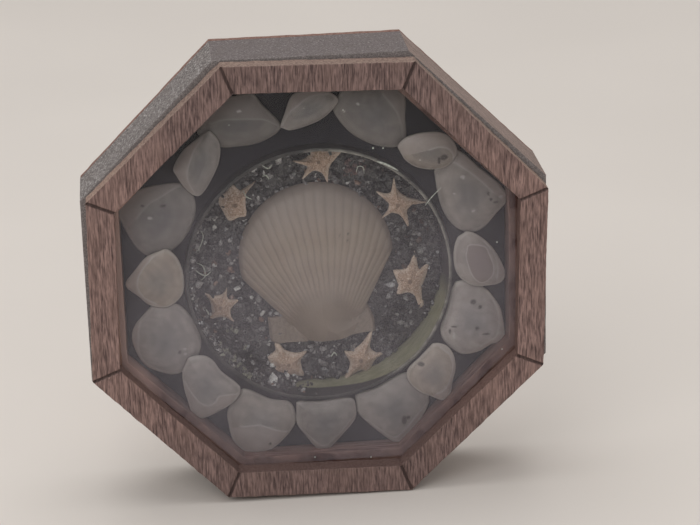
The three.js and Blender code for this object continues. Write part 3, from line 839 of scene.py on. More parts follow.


# Small valves: the outline of each and its marks, in pixels of the photograph. The line is a
# bright ridge, with the thinner and lighter part of the valve on the side of the light point.
# Spots are (x, y, half width, half height). Tone is how bright the valve is: partly its own
# colour and partly painted shade, darker for the valves at the top. Warm adds a yellow cast.
VALVE_SHAPES = {
    "rim_shell_01": {
        "outline": [(280.5, 127), (284.5, 113), (292, 95), (308, 89), (326, 90.5), (338, 98.5),
                    (332.5, 109), (320, 119.5), (302, 127), (288, 130)],
        "beak": (308, 89), "tone": 0.75, "light": (287, 103),
        "line": [(282, 124), (289, 111), (297, 103.5), (304, 97.5), (314, 93.5), (328, 93)]},
    "rim_shell_02": {
        "outline": [(333, 110), (346, 128.5), (361, 139), (378, 145.5), (396, 146.5), (405.5, 138),
                    (405, 118), (403, 93), (378, 86), (346, 89), (336, 98)],
        "beak": (398, 90), "tone": 0.55, "light": (404, 110),
        "line": [(382, 92), (394, 107), (399, 117), (401.5, 127), (402.5, 137)],
        "pale": [(343.5, 109.8, 1.3, 1), (357, 101.5, 1.5, 1.5)]},
    "rim_shell_03": {
        "outline": [(397.5, 147), (405, 137.5), (421, 132.5), (440, 132), (452, 139), (457, 152),
                    (448, 165), (433, 169), (416, 166.5), (403.5, 158)],
        "beak": (454, 145), "tone": 0.8, "warm": 0.35, "light": (446, 136),
        "line": [(428, 147), (437, 144.5), (446, 146), (452, 152), (453, 160)],
        "dark": [(443, 155, 4, 3), (438, 158, 1.5, 4)]},
    "rim_shell_04": {
        "outline": [(434, 171), (444, 156), (458, 150), (478, 166), (500, 184.5), (507, 198.5),
                    (496, 213), (483, 227), (470, 232), (456, 227), (446, 216), (440, 203),
                    (436, 186)],
        "beak": (507, 198.5), "tone": 0.85, "warm": 0.1, "light": (478, 168),
        "line": [(447, 158), (460, 164), (478, 177), (492, 190)],
        "dark": [(487, 191, 1, 2.5), (490, 197, 1.5, 2), (495, 200, 3, 1)],
        "pale": [(461.5, 174.5, 2.6, 1.3), (453, 191, 1.2, 1), (472, 208, 2, 1.2),
                 (500, 195, 2, 1.5)]},
    "rim_shell_05": {
        "outline": [(466, 231), (477, 234), (490.5, 245), (500.5, 260), (505, 273.5), (500, 282),
                    (487, 285), (473, 285), (461, 278), (454.5, 267), (453.5, 250), (458, 236)],
        "beak": (505, 273), "tone": 1.05, "warm": 0.1, "light": (497, 256),
        "line": [(484, 240), (493, 251), (497, 263), (496, 276)],
        "patch": [(467, 244), (475, 243), (484, 245.5), (487.5, 252), (491.5, 262), (491, 272),
                  (483, 280), (476, 277.5), (470, 269), (465.5, 253)]},
    "rim_shell_06": {
        "outline": [(455, 281.5), (468, 280), (484, 287), (492.5, 295.5), (500, 307), (503, 320),
                    (504.5, 335), (501, 341.5), (491, 343.5), (479, 350.5), (463, 353.5),
                    (451.5, 348), (442.5, 338), (440.5, 326), (447.5, 306), (451, 289)],
        "beak": (504, 336), "tone": 1.2, "light": (503, 330),
        "line": [(487, 290), (494, 301), (498, 313), (498, 326), (493, 336), (480, 344)],
        "dark": [(476, 325, 2, 2), (472, 299, 3, 2.5), (479, 304, 2, 2), (485, 331, 4, 1),
                 (449, 329, 1, 3), (453, 324, 3, 1)],
        "pale": [(499, 331, 2.5, 2), (453, 333, 1.5, 4)]},
    "rim_shell_07": {
        "outline": [(432, 343.5), (445, 344.5), (453, 353.5), (455.5, 367), (452.5, 380),
                    (450.5, 392), (443, 399.5), (430.5, 395.5), (418.5, 390.5), (408.5, 380.5),
                    (407.5, 369), (419.5, 356.5)],
        "beak": (447, 398), "tone": 1.05, "warm": 0.45, "light": (454, 365),
        "line": [(440, 346), (449, 353), (452, 364), (449, 378), (444, 386), (436, 391)],
        "dark": [(420.5, 362, 3.4, 2.2)]},
    "rim_shell_08": {
        "outline": [(355, 395), (376, 386.5), (400, 373), (412, 374), (424, 386), (429, 399),
                    (424, 412.5), (414, 427), (399.5, 443), (389, 438.5), (371.5, 425.5),
                    (357, 411)],
        "beak": (399, 443), "tone": 0.95, "light": (415, 425),
        "line": [(428, 400), (416, 413), (402, 429), (392, 435), (380, 428), (366, 418)],
        "dark": [(403.5, 417, 2.6, 5), (407.5, 414.5, 2, 2)]},
    "rim_shell_09": {
        "outline": [(296, 402), (318, 400.5), (350, 397), (356, 408), (354.5, 419), (345, 431),
                    (333.5, 443.5), (325, 451), (316, 447), (306.5, 436), (296.5, 422)],
        "beak": (325, 451), "tone": 0.78, "light": (324, 449),
        "line": [(299, 425), (311, 436), (323, 443), (336, 434), (350, 418)]},
    "rim_shell_10": {
        "outline": [(240, 390), (249, 389), (270, 398), (289, 401), (295.5, 412), (295, 423),
                    (284.5, 437.5), (271, 449), (258, 457), (244, 450.5), (233.5, 440.5),
                    (228.5, 424), (228, 408)],
        "beak": (258, 457), "tone": 0.9, "warm": 0.15, "light": (262, 440),
        "line": [(240, 424), (257, 421.5), (268, 424), (279, 428), (291, 430)],
        "dark": [(270, 441.3, 1.6, 1.6)]},
    "rim_shell_11": {
        "outline": [(188, 357.5), (203, 355), (213, 360), (221, 370.5), (236, 382), (240.5, 389),
                    (235.5, 399.5), (223, 408.5), (203, 417.5), (192.5, 413), (188, 401),
                    (183.5, 386), (182.5, 370)],
        "beak": (203, 417), "tone": 0.95, "light": (215, 410),
        "line": [(184.5, 380), (191, 390), (199, 399), (208, 403), (215, 399), (219, 393),
                 (228, 392), (240, 392.5)]},
    "rim_shell_12": {
        "outline": [(152, 304.5), (168, 303), (181, 305.5), (193.5, 320), (200, 335), (200.5, 349),
                    (192, 365), (176, 373.5), (160.5, 371.5), (145.5, 364.5), (136.5, 352),
                    (131.8, 336), (137, 321.5)],
        "beak": (132, 336), "tone": 0.95, "light": (134, 340),
        "line": [(141, 316), (138.5, 330), (138, 345), (141.5, 357), (149, 364), (162, 370)],
        "dark": [(179.5, 349, 2, 1.8)], "pale": [(184.5, 346, 2.2, 1.2), (185, 351, 2, 1.4)]},
    "rim_shell_13": {
        "outline": [(164, 248.5), (176, 256), (183, 272), (183.5, 290), (176.5, 301), (165, 307),
                    (149.5, 304.5), (138, 295.5), (125.5, 284.5), (135.5, 269), (147.5, 255.5)],
        "beak": (125.5, 284.5), "tone": 1.0, "warm": 0.55, "light": (131, 284),
        "line": [(153, 255), (142, 268), (137, 282), (143, 295), (156, 302)]},
    "rim_shell_14": {
        "outline": [(118, 214), (126.5, 200), (141, 189), (165, 183.5), (183, 184), (194, 197),
                    (195.5, 212), (190, 228), (179.5, 243.5), (165, 253), (150, 256), (137.5, 248),
                    (126.5, 232)],
        "beak": (118, 214), "tone": 0.62, "light": (140, 196),
        "line": [(181, 184), (170, 189), (159.5, 195.5), (150.5, 200), (142, 208), (136, 216)],
        "dark": [(162.8, 202.8, 3.2, 1.5), (142.3, 203.6, 2.4, 1)],
        "pale": [(149.8, 215.2, 2.4, 1.6)]},
    "rim_shell_15": {
        "outline": [(203.5, 133), (211, 131.5), (219.7, 143.5), (219, 161), (212.5, 177),
                    (204, 191), (196.5, 195.7), (185, 188), (176, 175), (173.4, 167),
                    (184.2, 148.7)],
        "beak": (174, 167), "tone": 0.75, "light": (180, 168),
        "line": [(202, 137), (194, 148), (189.5, 159), (187, 169), (187.2, 177), (190, 184),
                 (195, 192)]},
    "rim_shell_16": {
        "outline": [(250, 92), (262, 104), (279.5, 122), (279, 130), (270, 137), (255, 143.5),
                    (238, 146), (221, 146.5), (206, 138), (197, 131), (212, 112), (228, 97)],
        "beak": (240, 94), "tone": 0.49, "light": (245, 106),
        "line": [(210, 122), (223.5, 117.5), (245, 116.5), (263, 117.5), (272, 121.5), (280, 126)],
        "pale": [(238.5, 109, 2.5, 1.2)]},
}


def side_of_line(points, line, light):
    """Distance of each (x, z) point from a line, above zero on the side of the light point."""
    both = np.vstack([points, light])
    nearest = np.full(len(both), 1e9)
    signed = np.zeros(len(both))
    for start, end in zip(line[:-1], line[1:]):
        along = end - start
        share = np.clip(((both - start) @ along) / (along @ along), 0, 1)
        away = both - start - share[:, None] * along
        far = np.hypot(*away.T)
        side = along[0] * (both[:, 1] - start[1]) - along[1] * (both[:, 0] - start[0])
        closer = far < nearest
        signed[closer] = (np.sign(side) * far)[closer]
        nearest[closer] = far[closer]
    return signed[:-1] * np.sign(signed[-1])


def spot_mask(points, spots, depth, soft=0.6):
    """1 inside any of the spots and 0 away from them."""
    mask = np.zeros(len(points))
    for x, y, half_wide, half_high in spots:
        centre = seen_at([(x, y)], depth)[0]
        away = np.hypot(*((points - centre) / (np.array([half_wide, half_high]) * PIXEL)).T)
        mask = np.maximum(mask, 1 - ease(away, 1 - soft / 2, 1 + soft / 2))
    return mask


def share_of_reach(points, start, outline):
    """How far each (x, z) point lies on the way from start, 0, to the outline, 1."""
    spread, offset = outline - start, points - start
    spread_angles = np.arctan2(spread[:, 1], spread[:, 0])
    order = np.argsort(spread_angles)
    limit = np.interp(np.arctan2(offset[:, 1], offset[:, 0]), spread_angles[order],
                      np.hypot(*spread.T)[order], period=2 * math.pi)
    return np.clip(np.hypot(*offset.T) / limit, 0, 1)


def make_valve_piece(node, number):
    """One small clam valve: a smooth dome with growth lines, a thin margin and its own marks."""
    shape = VALVE_SHAPES[node]
    low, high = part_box(node)
    depth = high.y - 0.2 * MM
    outline = closed_curve(seen_at(shape["outline"], depth), VALVE_SPOKES)
    middle = outline.mean(0)
    flat, share = outline_rows(outline, middle, VALVE_RINGS)
    beak = seen_at([shape["beak"]], depth)[0]
    beak = beak + 0.08 * (middle - beak)
    age = share_of_reach(flat, beak, outline)
    line = smooth_line(seen_at(shape["line"], depth))
    side = side_of_line(flat, line, seen_at([shape["light"]], depth))
    deep = upright(flat)
    crest = high.y - low.y - 0.4 * MM
    dome = crest * (1 - share**2.4) ** 0.8
    lines = np.sin(age * 40 + 1.5 * lattice_noise(deep / (2 * MM), number)) * 0.01 * MM
    keel = 0.08 * MM * np.exp(-((side / (0.45 * MM)) ** 2))
    soft = 0.03 * MM * rough(deep, (3.5 * MM, 1, 3.5 * MM), 80 + number, 2)
    dark = spot_mask(flat, shape.get("dark", ()), depth)
    rise = 0.2 * MM + dome + (lines + keel + soft - 0.06 * MM * dark) * (1 - share**6)
    under = np.maximum(0, dome - 0.45 * MM)
    patched = np.zeros(len(flat))
    if "patch" in shape:
        patch = closed_curve(seen_at(shape["patch"], depth), 60)
        away = distance_to_line(flat, np.vstack([patch, patch[:1]]))
        away = np.where(inside_outline(flat, patch) > 0, -away, away)
        patched = 1 - ease(away, -0.25 * MM, 0.35 * MM)
    marks = {
        "share": share, "age": age, "zone": ease(side, -0.1 * MM, 0.25 * MM),
        "line": np.exp(-((side / (0.2 * MM)) ** 2)), "dark_spot": dark,
        "pale_spot": spot_mask(flat, shape.get("pale", ()), depth), "patch": patched,
        "tone": np.full(len(flat), shape["tone"]),
        "warm": np.full(len(flat), shape.get("warm", 0.0)),
    }
    skin_piece(f"{node}_valve", node, valve_shell(), flat, len(outline),
               VALVE_RINGS, rise, under, high.y, marks)


# Small oddments: specks on the pane and fibres in the well


def tube_points(line, radius, sides=6):
    """A thin closed tube along a line of points that tapers to both ends."""
    line = np.asarray(line, float)
    points = []
    for i, here in enumerate(line):
        ahead = line[min(i + 1, len(line) - 1)] - line[max(i - 1, 0)]
        ahead = ahead / np.linalg.norm(ahead)
        side = np.cross(ahead, (0, 1, 0))
        side = side / np.linalg.norm(side)
        other = np.cross(ahead, side)
        thick = radius * math.sin(math.pi * (i + 0.6) / (len(line) + 0.2)) ** 0.5
        for k in range(sides):
            turn = 2 * math.pi * k / sides
            points.append(here + thick * (math.cos(turn) * side + math.sin(turn) * other))
    faces = [tuple(face) for face in grid_faces(len(line), sides, False, True)]
    faces.append(tuple(range(sides)))
    faces.append(tuple(range((len(line) - 1) * sides, len(line) * sides)))
    return np.array(points), faces


RIM_RISE = (SAND_LOW.y - WELL_LOW.y) / MM  # rim of the well in front of the sand, in mm

# Thin pale fibres and curls: pixels of the photograph, how far in front of the sand they lie (mm)
# and their thickness (mm)
FIBRES = [
    ([(377, 161), (386, 164), (398, 170)], RIM_RISE + 0.6, 0.24),
    ([(262, 176), (266, 175), (269, 179)], 1.3, 0.16),
    ([(192, 260), (196, 270), (205, 275), (211, 271)], 1.8, 0.15),
    ([(196, 262), (203, 266), (205, 275), (201, 280)], 2.0, 0.13),
    ([(331, 356), (334, 352), (337, 355)], 1.0, 0.16),
    ([(425, 205), (432, 196), (441, 187)], RIM_RISE + 1.5, 0.1),
    ([(245, 168), (256, 160), (268, 158)], 1.0, 0.1),
    ([(197, 225), (203, 235), (200, 246), (196, 252)], 1.8, 0.12),
    ([(356, 172), (358, 166), (363, 167), (364, 173)], 1.8, 0.12),
    ([(200, 300), (203, 306), (208, 312), (207, 317)], 1.8, 0.15),
    ([(243, 190), (246, 196), (252, 199)], 1.6, 0.13),
    ([(262, 165), (268, 168), (272, 164)], 1.8, 0.15),
]

# Bright specks on the pane, in pixels of the photograph, with their half width in pixels
SPECKS = [(373, 148, 1.1), (383, 148, 0.9), (343, 110, 0.8), (497, 242, 0.9), (502, 349, 0.8),
          (315, 457, 0.9), (371, 457, 0.8), (229, 125, 0.6), (304, 108, 0.5), (420, 160, 0.5)]


def make_oddments():
    """Fibres in the well and specks of dust on the pane."""
    points, faces = [], []
    for pixels, in_front, thick in FIBRES:
        depth = SAND_LOW.y - in_front * MM
        flat = smooth_line(seen_at(pixels, depth), 5)
        line = np.column_stack([flat[:, 0], np.full(len(flat), depth), flat[:, 1]])
        tube, tube_faces = tube_points(line, thick * MM)
        faces += [tuple(i + len(points) for i in face) for face in tube_faces]
        points += list(tube)
    add_piece("well_fibres", points, faces, pale_fibre())
    corners, ball = grain_template()
    points, faces = [], []
    for px, py, half in SPECKS:
        centre = seen_at([(px, py)], PANE_LOW.y)[0]
        place = np.array([centre[0], PANE_LOW.y - 0.06 * MM, centre[1]])
        faces += [tuple(face + len(points)) for face in ball]
        points += list(place + corners * [half * PIXEL, 0.05 * MM, half * PIXEL])
    add_piece("pane_specks", points, faces, pale_fibre())


def make_pane():
    """The CAD pane with clear glass, and a thin film of haze in front of it."""
    dress_node("glass_pane", pane_glass())
    inset = 1.5 * MM
    path, _, _ = octagon_path(12, 1.0)
    rim = upright(path * (PANE_HIGH.x - inset)) + (0, PANE_LOW.y - 0.03 * MM, MIDDLE_Z)
    add_piece("pane_dust_and_reflection_film", rim, [tuple(range(len(rim)))], pane_dust_and_reflection_film())


# Materials

# Colour sockets of the Mix node, which shares its names between kinds of data
MIX_A, MIX_B, MIX_RESULT = 6, 7, 2

# Fixed tones that the materials mix in, as linear red, green and blue
EDGE_DARK, EDGE_LIGHT = (0.21, 0.135, 0.11), (0.42, 0.305, 0.24)
# painted shade: the frame's inner edges take a darker copy of the outer edge colours
SHADED_INNER_EDGE_DARK, SHADED_INNER_EDGE_LIGHT = (0.13, 0.075, 0.065), (0.21, 0.135, 0.115)
GROOVE_DARK = (0.035, 0.02, 0.018)
# the second wall tone is painted light, a lighter colour for the left-facing flats
WALL_TOP, LIT_WALL_LEFT = (0.185, 0.16, 0.16), (0.31, 0.26, 0.245)
GRIT_DARK, GRIT_PALE = (0.07, 0.065, 0.065), (0.55, 0.54, 0.53)
WALL_STAIN = (0.14, 0.12, 0.11)
LEDGE_DARK, LEDGE_LIGHT, LEDGE_LEFT = (0.09, 0.042, 0.036), (0.25, 0.15, 0.128), (0.42, 0.26, 0.215)
BOARD_WORN, BOARD_DUST = (0.011, 0.010, 0.017), (0.2, 0.19, 0.19)
WELL_YELLOW = (0.33, 0.32, 0.21)
RIM_DARK, RIM_LIGHT = (0.14, 0.13, 0.11), (0.42, 0.40, 0.35)
FAN_PATCH, FAN_EDGE = (0.36, 0.30, 0.24), (0.25, 0.215, 0.20)
EAR_DARK, EAR_LIGHT = (0.20, 0.155, 0.125), (0.27, 0.22, 0.18)
PIT_DARK = (0.06, 0.045, 0.035)
STAR_CREAM, STAR_DARK, STAR_MIDDLE = (0.69, 0.57, 0.475), (0.22, 0.145, 0.10), (0.20, 0.13, 0.09)
VALVE_WARM_DARK, VALVE_WARM_LIGHT = (0.27, 0.215, 0.165), (0.34, 0.28, 0.21)
VALVE_THIN, VALVE_LINE = (0.42, 0.36, 0.345), (0.55, 0.52, 0.50)
PATCH_RING, PATCH_DARK = (0.46, 0.42, 0.40), (0.20, 0.155, 0.15)
SPOT_DARK, SPOT_PALE = (0.03, 0.024, 0.022), (0.50, 0.48, 0.46)
FIBRE_GREEN, FIBRE_PALE = (0.42, 0.46, 0.38), (0.72, 0.75, 0.68)
GLASS_TINT, FILM_GREY = (0.96, 0.975, 0.97), (0.52, 0.48, 0.535)

# Pairs of tones that darken or lighten what they multiply
PLAIN = (1, 1, 1)
END_SHADE = (0.80, 0.82, 0.84)
WALL_SPECKLE = (0.62, 0.62, 0.62), (1.25, 1.25, 1.25)
WALL_STREAKS = (0.7, 0.66, 0.64), (1.15, 1.12, 1.1)
GRAIN_SHADES = (0.6, 0.6, 0.6), (1.4, 1.4, 1.4)
FAN_BANDS = (0.96, 0.955, 0.95), (1.03, 1.03, 1.03)
VALVE_BANDS = (0.96, 0.96, 0.96), (1.03, 1.03, 1.03)
VALVE_MIDDLE_TO_RIM = (0.74, 0.755, 0.80), (1.14, 1.12, 1.12)

GLASS_IOR = 1.25
FAN_GLOW = {"Subsurface Weight": 0.08, "Subsurface Radius": (1.2 * MM, 0.9 * MM, 0.7 * MM)}
VALVE_GLOW = {"Subsurface Weight": 0.15, "Subsurface Radius": (1.5 * MM, 1.3 * MM, 1.2 * MM)}


class Nodes:
    """A node tree under construction, with short calls to add and join nodes."""

    def __init__(self, tree):
        self.tree = tree

    def join(self, source, target):
        """Links an output to an input, or sets the input to a number, vector or colour."""
        if isinstance(source, bpy.types.NodeSocket):
            self.tree.links.new(source, target)
        elif target.type == "RGBA":
            target.default_value = (*source, 1)
        else:
            target.default_value = source

    def node(self, kind, inputs=None, **settings):
        """A new node with these settings, and with its inputs joined."""
        made = self.tree.nodes.new(kind)
        for key, value in settings.items():
            setattr(made, key, value)
        for key, value in (inputs or {}).items():
            self.join(value, made.inputs[key])
        return made

    def math(self, operation, a, b=0.0, clamp=False):
        """One step of arithmetic."""
        return self.node("ShaderNodeMath", {0: a, 1: b}, operation=operation,
                         use_clamp=clamp).outputs[0]

    def divide(self, vector, by):
        """A vector divided by another, or by a tuple, along each axis."""
        return self.node("ShaderNodeVectorMath", {0: vector, 1: by}, operation="DIVIDE").outputs[0]


class Shader(Nodes):
    """A material under construction."""

    def __init__(self, name, roughness, specular):
        self.material = bpy.data.materials.new(name)
        self.material.use_nodes = True
        super().__init__(self.material.node_tree)
        self.surface = self.tree.nodes["Principled BSDF"]
        self.put({"Roughness": roughness, "Specular IOR Level": specular})
        self.place = self.node("ShaderNodeNewGeometry").outputs["Position"]

    def put(self, values):
        """Joins values to the named sockets of the surface."""
        for key, value in values.items():
            self.join(value, self.surface.inputs[key])

    def mark(self, name, output="Fac"):
        """A value that the mesh carries at its points."""
        return self.node("ShaderNodeAttribute", attribute_name=name).outputs[output]

    def part_of(self, name, share):
        """A share of such a value."""
        return self.math("MULTIPLY", self.mark(name), share)

    def axes(self, vector):
        """The X, Y and Z of a vector."""
        return self.node("ShaderNodeSeparateXYZ", {0: vector}).outputs

    def noise(self, cell, detail):
        """Soft noise with humps the size of a cell, given in metres, for each axis or for all."""
        cell = (cell, cell, cell) if isinstance(cell, float) else cell
        return self.node("ShaderNodeTexNoise", {
            "Vector": self.divide(self.place, cell), "Scale": 1.0, "Detail": detail,
            "Roughness": 0.55}).outputs["Fac"]

    def span(self, value, low, high, to_low=0.0, to_high=1.0):
        """A smooth step from to_low at low to to_high at high."""
        return self.node("ShaderNodeMapRange", {
            "Value": value, "From Min": low, "From Max": high, "To Min": to_low,
            "To Max": to_high}, interpolation_type="SMOOTHSTEP").outputs["Result"]

    def mix(self, share, a, b, blend="MIX"):
        """From colour a at 0 to colour b at 1."""
        return self.node("ShaderNodeMix", {"Factor": share, MIX_A: a, MIX_B: b},
                         data_type="RGBA", blend_type=blend).outputs[MIX_RESULT]

    def times(self, colour, share, a, b):
        """A colour multiplied by a tone from a at 0 to b at 1."""
        return self.mix(1.0, colour, self.mix(share, a, b), "MULTIPLY")

    def bump(self, height, strength, distance):
        """Raises the surface where height is high."""
        made = self.node("ShaderNodeBump", {
            "Height": height, "Strength": strength, "Distance": distance})
        self.put({"Normal": made.outputs["Normal"]})

    def group(self, tree, **inputs):
        """A node group, with its inputs named by words with underscores."""
        named = {key.replace("_", " ").title(): value for key, value in inputs.items()}
        return self.node("ShaderNodeGroup", named, node_tree=tree).outputs


def once(maker):
    """Keeps what maker builds, so that every call gets the same material or group."""
    kept = {}

    def again():
        if maker not in kept:
            kept[maker] = maker()
        return kept[maker]

    return again


def new_group(name, vectors, numbers, results):
    """An empty node group with named sockets: its nodes, its inputs and its outputs."""
    tree = bpy.data.node_groups.new(name, "ShaderNodeTree")
    for side, kind, labels in (("INPUT", "NodeSocketVector", vectors),
                               ("INPUT", "NodeSocketFloat", numbers),
                               ("OUTPUT", "NodeSocketFloat", results)):
        for label in labels:
            tree.interface.new_socket(label, in_out=side, socket_type=kind)
    nodes = Nodes(tree)
    return nodes, nodes.node("NodeGroupInput").outputs, nodes.node("NodeGroupOutput").inputs


@once
def wood_streaks_group():
    """Short light and dark streaks along the grain, as a share from dark to light."""
    nodes, given, result = new_group(
        "Wood Streaks", ["Place"], ["Across", "Along"], ["Light", "Pores"])
    size = nodes.node("ShaderNodeCombineXYZ", {
        "X": given["Across"], "Y": given["Across"], "Z": given["Along"]})
    scaled = nodes.divide(given["Place"], size.outputs[0])
    for label, scale, detail, low, high in (("Light", 1.0, 4.0, 0.30, 0.70),
                                            ("Pores", 1.9, 2.0, 0.56, 0.66)):
        noise = nodes.node("ShaderNodeTexNoise", {
            "Vector": scaled, "Scale": scale, "Detail": detail})
        spread = nodes.node("ShaderNodeMapRange", {
            "Value": noise.outputs["Fac"], "From Min": low, "From Max": high})
        nodes.join(spread.outputs["Result"], result[label])
    return nodes.tree


@once
def dust_group():
    """Fine pale dust: a share that is high on scattered specks and in soft patches."""
    nodes, given, result = new_group("Fine Dust", ["Place"], ["Speck Size", "Amount"], ["Share"])
    scaled = nodes.divide(given["Place"], given["Speck Size"])
    cells = nodes.node("ShaderNodeTexVoronoi", {"Vector": scaled, "Scale": 0.3})
    speck = nodes.node("ShaderNodeMapRange", {
        "Value": cells.outputs["Distance"], "From Min": 0.16, "From Max": 0.08})
    patches = nodes.node("ShaderNodeTexNoise", {"Vector": scaled, "Scale": 0.12})
    both = nodes.node("ShaderNodeMath", {
        0: patches.outputs["Fac"], 1: 0.5, 2: speck.outputs["Result"]}, operation="MULTIPLY_ADD")
    nodes.join(nodes.math("MULTIPLY", both.outputs[0], given["Amount"], clamp=True),
               result["Share"])
    return nodes.tree


@once
def frame_wood():
    """Reddish-brown board with short upright streaks and dark pores, and painted shade on its inner
    edges.
    """
    look, c = Shader("Frame Wood", 0.62, 0.35), colours()
    streaks = look.group(wood_streaks_group(), place=look.place, across=0.36 * MM, along=3.2 * MM)
    wide = look.noise((3.5 * MM, 9 * MM, 14 * MM), 2)
    tone = look.math("ADD", streaks["Light"], look.part_of("grain", 0.16), clamp=True)
    base = look.mix(tone, c.wood_dark, c.wood_light)
    base = look.mix(look.math("MULTIPLY", streaks["Pores"], 0.55), base, c.wood_dark)
    base = look.mix(look.span(wide, 0.35, 0.7, 0.0, 0.3), base, c.wood_edge)
    flecks = look.span(look.noise(0.5 * MM, 2), 0.36, 0.62)
    # painted shade: inner edges are coloured darker than outer edges
    smooth_edge = look.mix(look.mark("inner_side"), look.mix(flecks, EDGE_DARK, EDGE_LIGHT),
                           look.mix(flecks, SHADED_INNER_EDGE_DARK, SHADED_INNER_EDGE_LIGHT))
    base = look.mix(look.part_of("side_face", 0.7), base, smooth_edge)
    height = look.axes(look.place)["Z"]
    from_middle = look.math("ABSOLUTE", look.math("SUBTRACT", height, MIDDLE_Z))
    base = look.times(base, look.span(from_middle, 22 * MM, 42 * MM), PLAIN, END_SHADE)
    base = look.mix(look.part_of("groove", 0.8), base, GROOVE_DARK)
    look.put({"Base Color": base})
    look.bump(streaks["Light"], 0.35, 0.15 * MM)
    return look.material


@once
def wall_wood():
    """Rough wall: grey speckled end grain on the slanted flats, warmer long grain elsewhere, and
    painted light on the left-facing flats.
    """
    look, c = Shader("Wall Wood", 0.85, 0.25), colours()
    speckle = look.noise(0.22 * MM, 2)
    patches = look.noise(3 * MM, 3)
    layers = look.noise((9 * MM, 0.5 * MM, 9 * MM), 3)
    normal = look.axes(look.node("ShaderNodeNewGeometry").outputs["True Normal"])
    rightward = look.span(normal["X"], 0.15, 0.55)
    upward = look.span(normal["Z"], 0.8, 0.95)
    leftward = look.span(normal["X"], -0.8, -0.95)
    slanted = look.math("MULTIPLY", look.span(normal["Z"], 0.4, 0.6),
                        look.span(normal["X"], -0.4, -0.6))
    base = look.mix(rightward, c.wall_grey, c.wall_warm)
    base = look.mix(upward, base, WALL_TOP)
    # painted light: the left-facing flats are lightened
    base = look.mix(leftward, base, LIT_WALL_LEFT)
    base = look.times(base, look.span(speckle, 0.35, 0.7), *WALL_SPECKLE)
    coarse = look.noise(0.5 * MM, 1)
    speckled = look.mix(look.span(coarse, 0.38, 0.5), GRIT_DARK, base)
    speckled = look.mix(look.span(coarse, 0.60, 0.68), speckled, GRIT_PALE)
    rough_sides = look.math("MAXIMUM", slanted, look.math("MULTIPLY", upward, 0.35))
    base = look.mix(look.math("MULTIPLY", rough_sides, 0.75), base, speckled)
    streaky = look.times(base, look.span(layers, 0.3, 0.7), *WALL_STREAKS)
    base = look.mix(look.math("MULTIPLY", rightward, 0.8), base, streaky)
    base = look.mix(look.span(patches, 0.4, 0.75, 0.0, 0.35), base, WALL_STAIN)
    inside = look.math("SUBTRACT", 1.0, look.mark("outside"))
    ledge = look.mix(look.span(layers, 0.42, 0.58), LEDGE_DARK, LEDGE_LIGHT)
    ledge = look.mix(look.span(patches, 0.35, 0.7), ledge, c.ledge_brown)
    far_left = look.span(look.axes(look.place)["X"], -34 * MM, -40 * MM)
    ledge = look.mix(far_left, ledge, LEDGE_LEFT)
    look.put({"Base Color": look.mix(inside, base, ledge)})
    look.bump(speckle, 0.6, 0.12 * MM)
    return look.material


@once
def back_wood():
    """Thin brown board with a faint straight grain."""
    look, c = Shader("Back Wood", 0.8, 0.25), colours()
    streaks = look.group(wood_streaks_group(), place=look.place, across=0.7 * MM, along=14 * MM)
    base = look.mix(streaks["Light"], c.back_brown, c.wood_edge)
    base = look.mix(look.math("MULTIPLY", streaks["Pores"], 0.5), base, c.wood_dark)
    dust = look.group(dust_group(), place=look.place, speck_size=0.5 * MM, amount=0.25)
    look.put({"Base Color": look.mix(dust["Share"], base, c.wall_warm)})
    look.bump(streaks["Light"], 0.3, 0.1 * MM)
    return look.material


@once
def board_black():
    """Matt near-black board with a little dust."""
    look, c = Shader("Black Board", 0.8, 0.3), colours()
    dust = look.group(dust_group(), place=look.place, speck_size=0.5 * MM, amount=0.05)
    tooth = look.noise(1.4 * MM, 2)
    base = look.mix(look.span(tooth, 0.3, 0.7), c.board_black, BOARD_WORN)
    look.put({"Base Color": look.mix(dust["Share"], base, BOARD_DUST)})
    look.bump(tooth, 0.1, 0.1 * MM)
    return look.material


@once
def well_side():
    """Side of the well: pale green where marked so, dark elsewhere, with a bright rim."""
    look, c = Shader("Well Side", 0.55, 0.4), colours()
    smear = look.noise((2.5 * MM, 1.2 * MM, 2.5 * MM), 3)
    green = look.mix(look.span(smear, 0.3, 0.7), c.well_green, WELL_YELLOW)
    base = look.mix(look.mark("green"), c.well_dark, green)
    edge = look.mix(look.span(smear, 0.35, 0.6), RIM_DARK, RIM_LIGHT)
    look.put({"Base Color": look.mix(look.mark("rim"), base, edge)})
    look.bump(smear, 0.3, 0.2 * MM)
    return look.material


@once
def sand_grains():
    """Angular dark grains, each with its own tone and a glint."""
    look = Shader("Dark Sand", 0.3, 0.8)
    fine = look.noise(0.25 * MM, 2)
    shaded = look.times(look.mark("tone", "Color"), look.span(fine, 0.3, 0.7), *GRAIN_SHADES)
    look.put({"Base Color": shaded, "Roughness": look.span(fine, 0.3, 0.7, 0.12, 0.45)})
    return look.material


@once
def scallop_shell():
    """Beige-grey shell, paler on the ribs, with bands of growth."""
    look, c = Shader("Scallop", 0.5, 0.4), colours()
    age = look.mark("age")
    spots = look.noise(0.6 * MM, 3)
    patches = look.noise(5 * MM, 2)
    wave = look.math("SINE", look.math("MULTIPLY", age, 30.0))
    base = look.mix(look.span(look.mark("rib"), 0.1, 0.85), c.scallop_deep, c.scallop_pale)
    base = look.times(base, look.span(wave, -1.0, 1.0), *FAN_BANDS)
    base = look.mix(look.span(patches, 0.35, 0.7, 0.0, 0.3), base, FAN_PATCH)
    base = look.mix(look.span(age, 0.55, 0.9, 0.0, 0.6), base, FAN_EDGE)
    base = look.mix(look.part_of("ear", 0.75), base,
                    look.mix(look.span(spots, 0.35, 0.65), EAR_DARK, EAR_LIGHT))
    look.put({"Base Color": look.mix(look.mark("pit"), base, PIT_DARK), **FAN_GLOW})
    look.bump(spots, 0.25, 0.05 * MM)
    return look.material


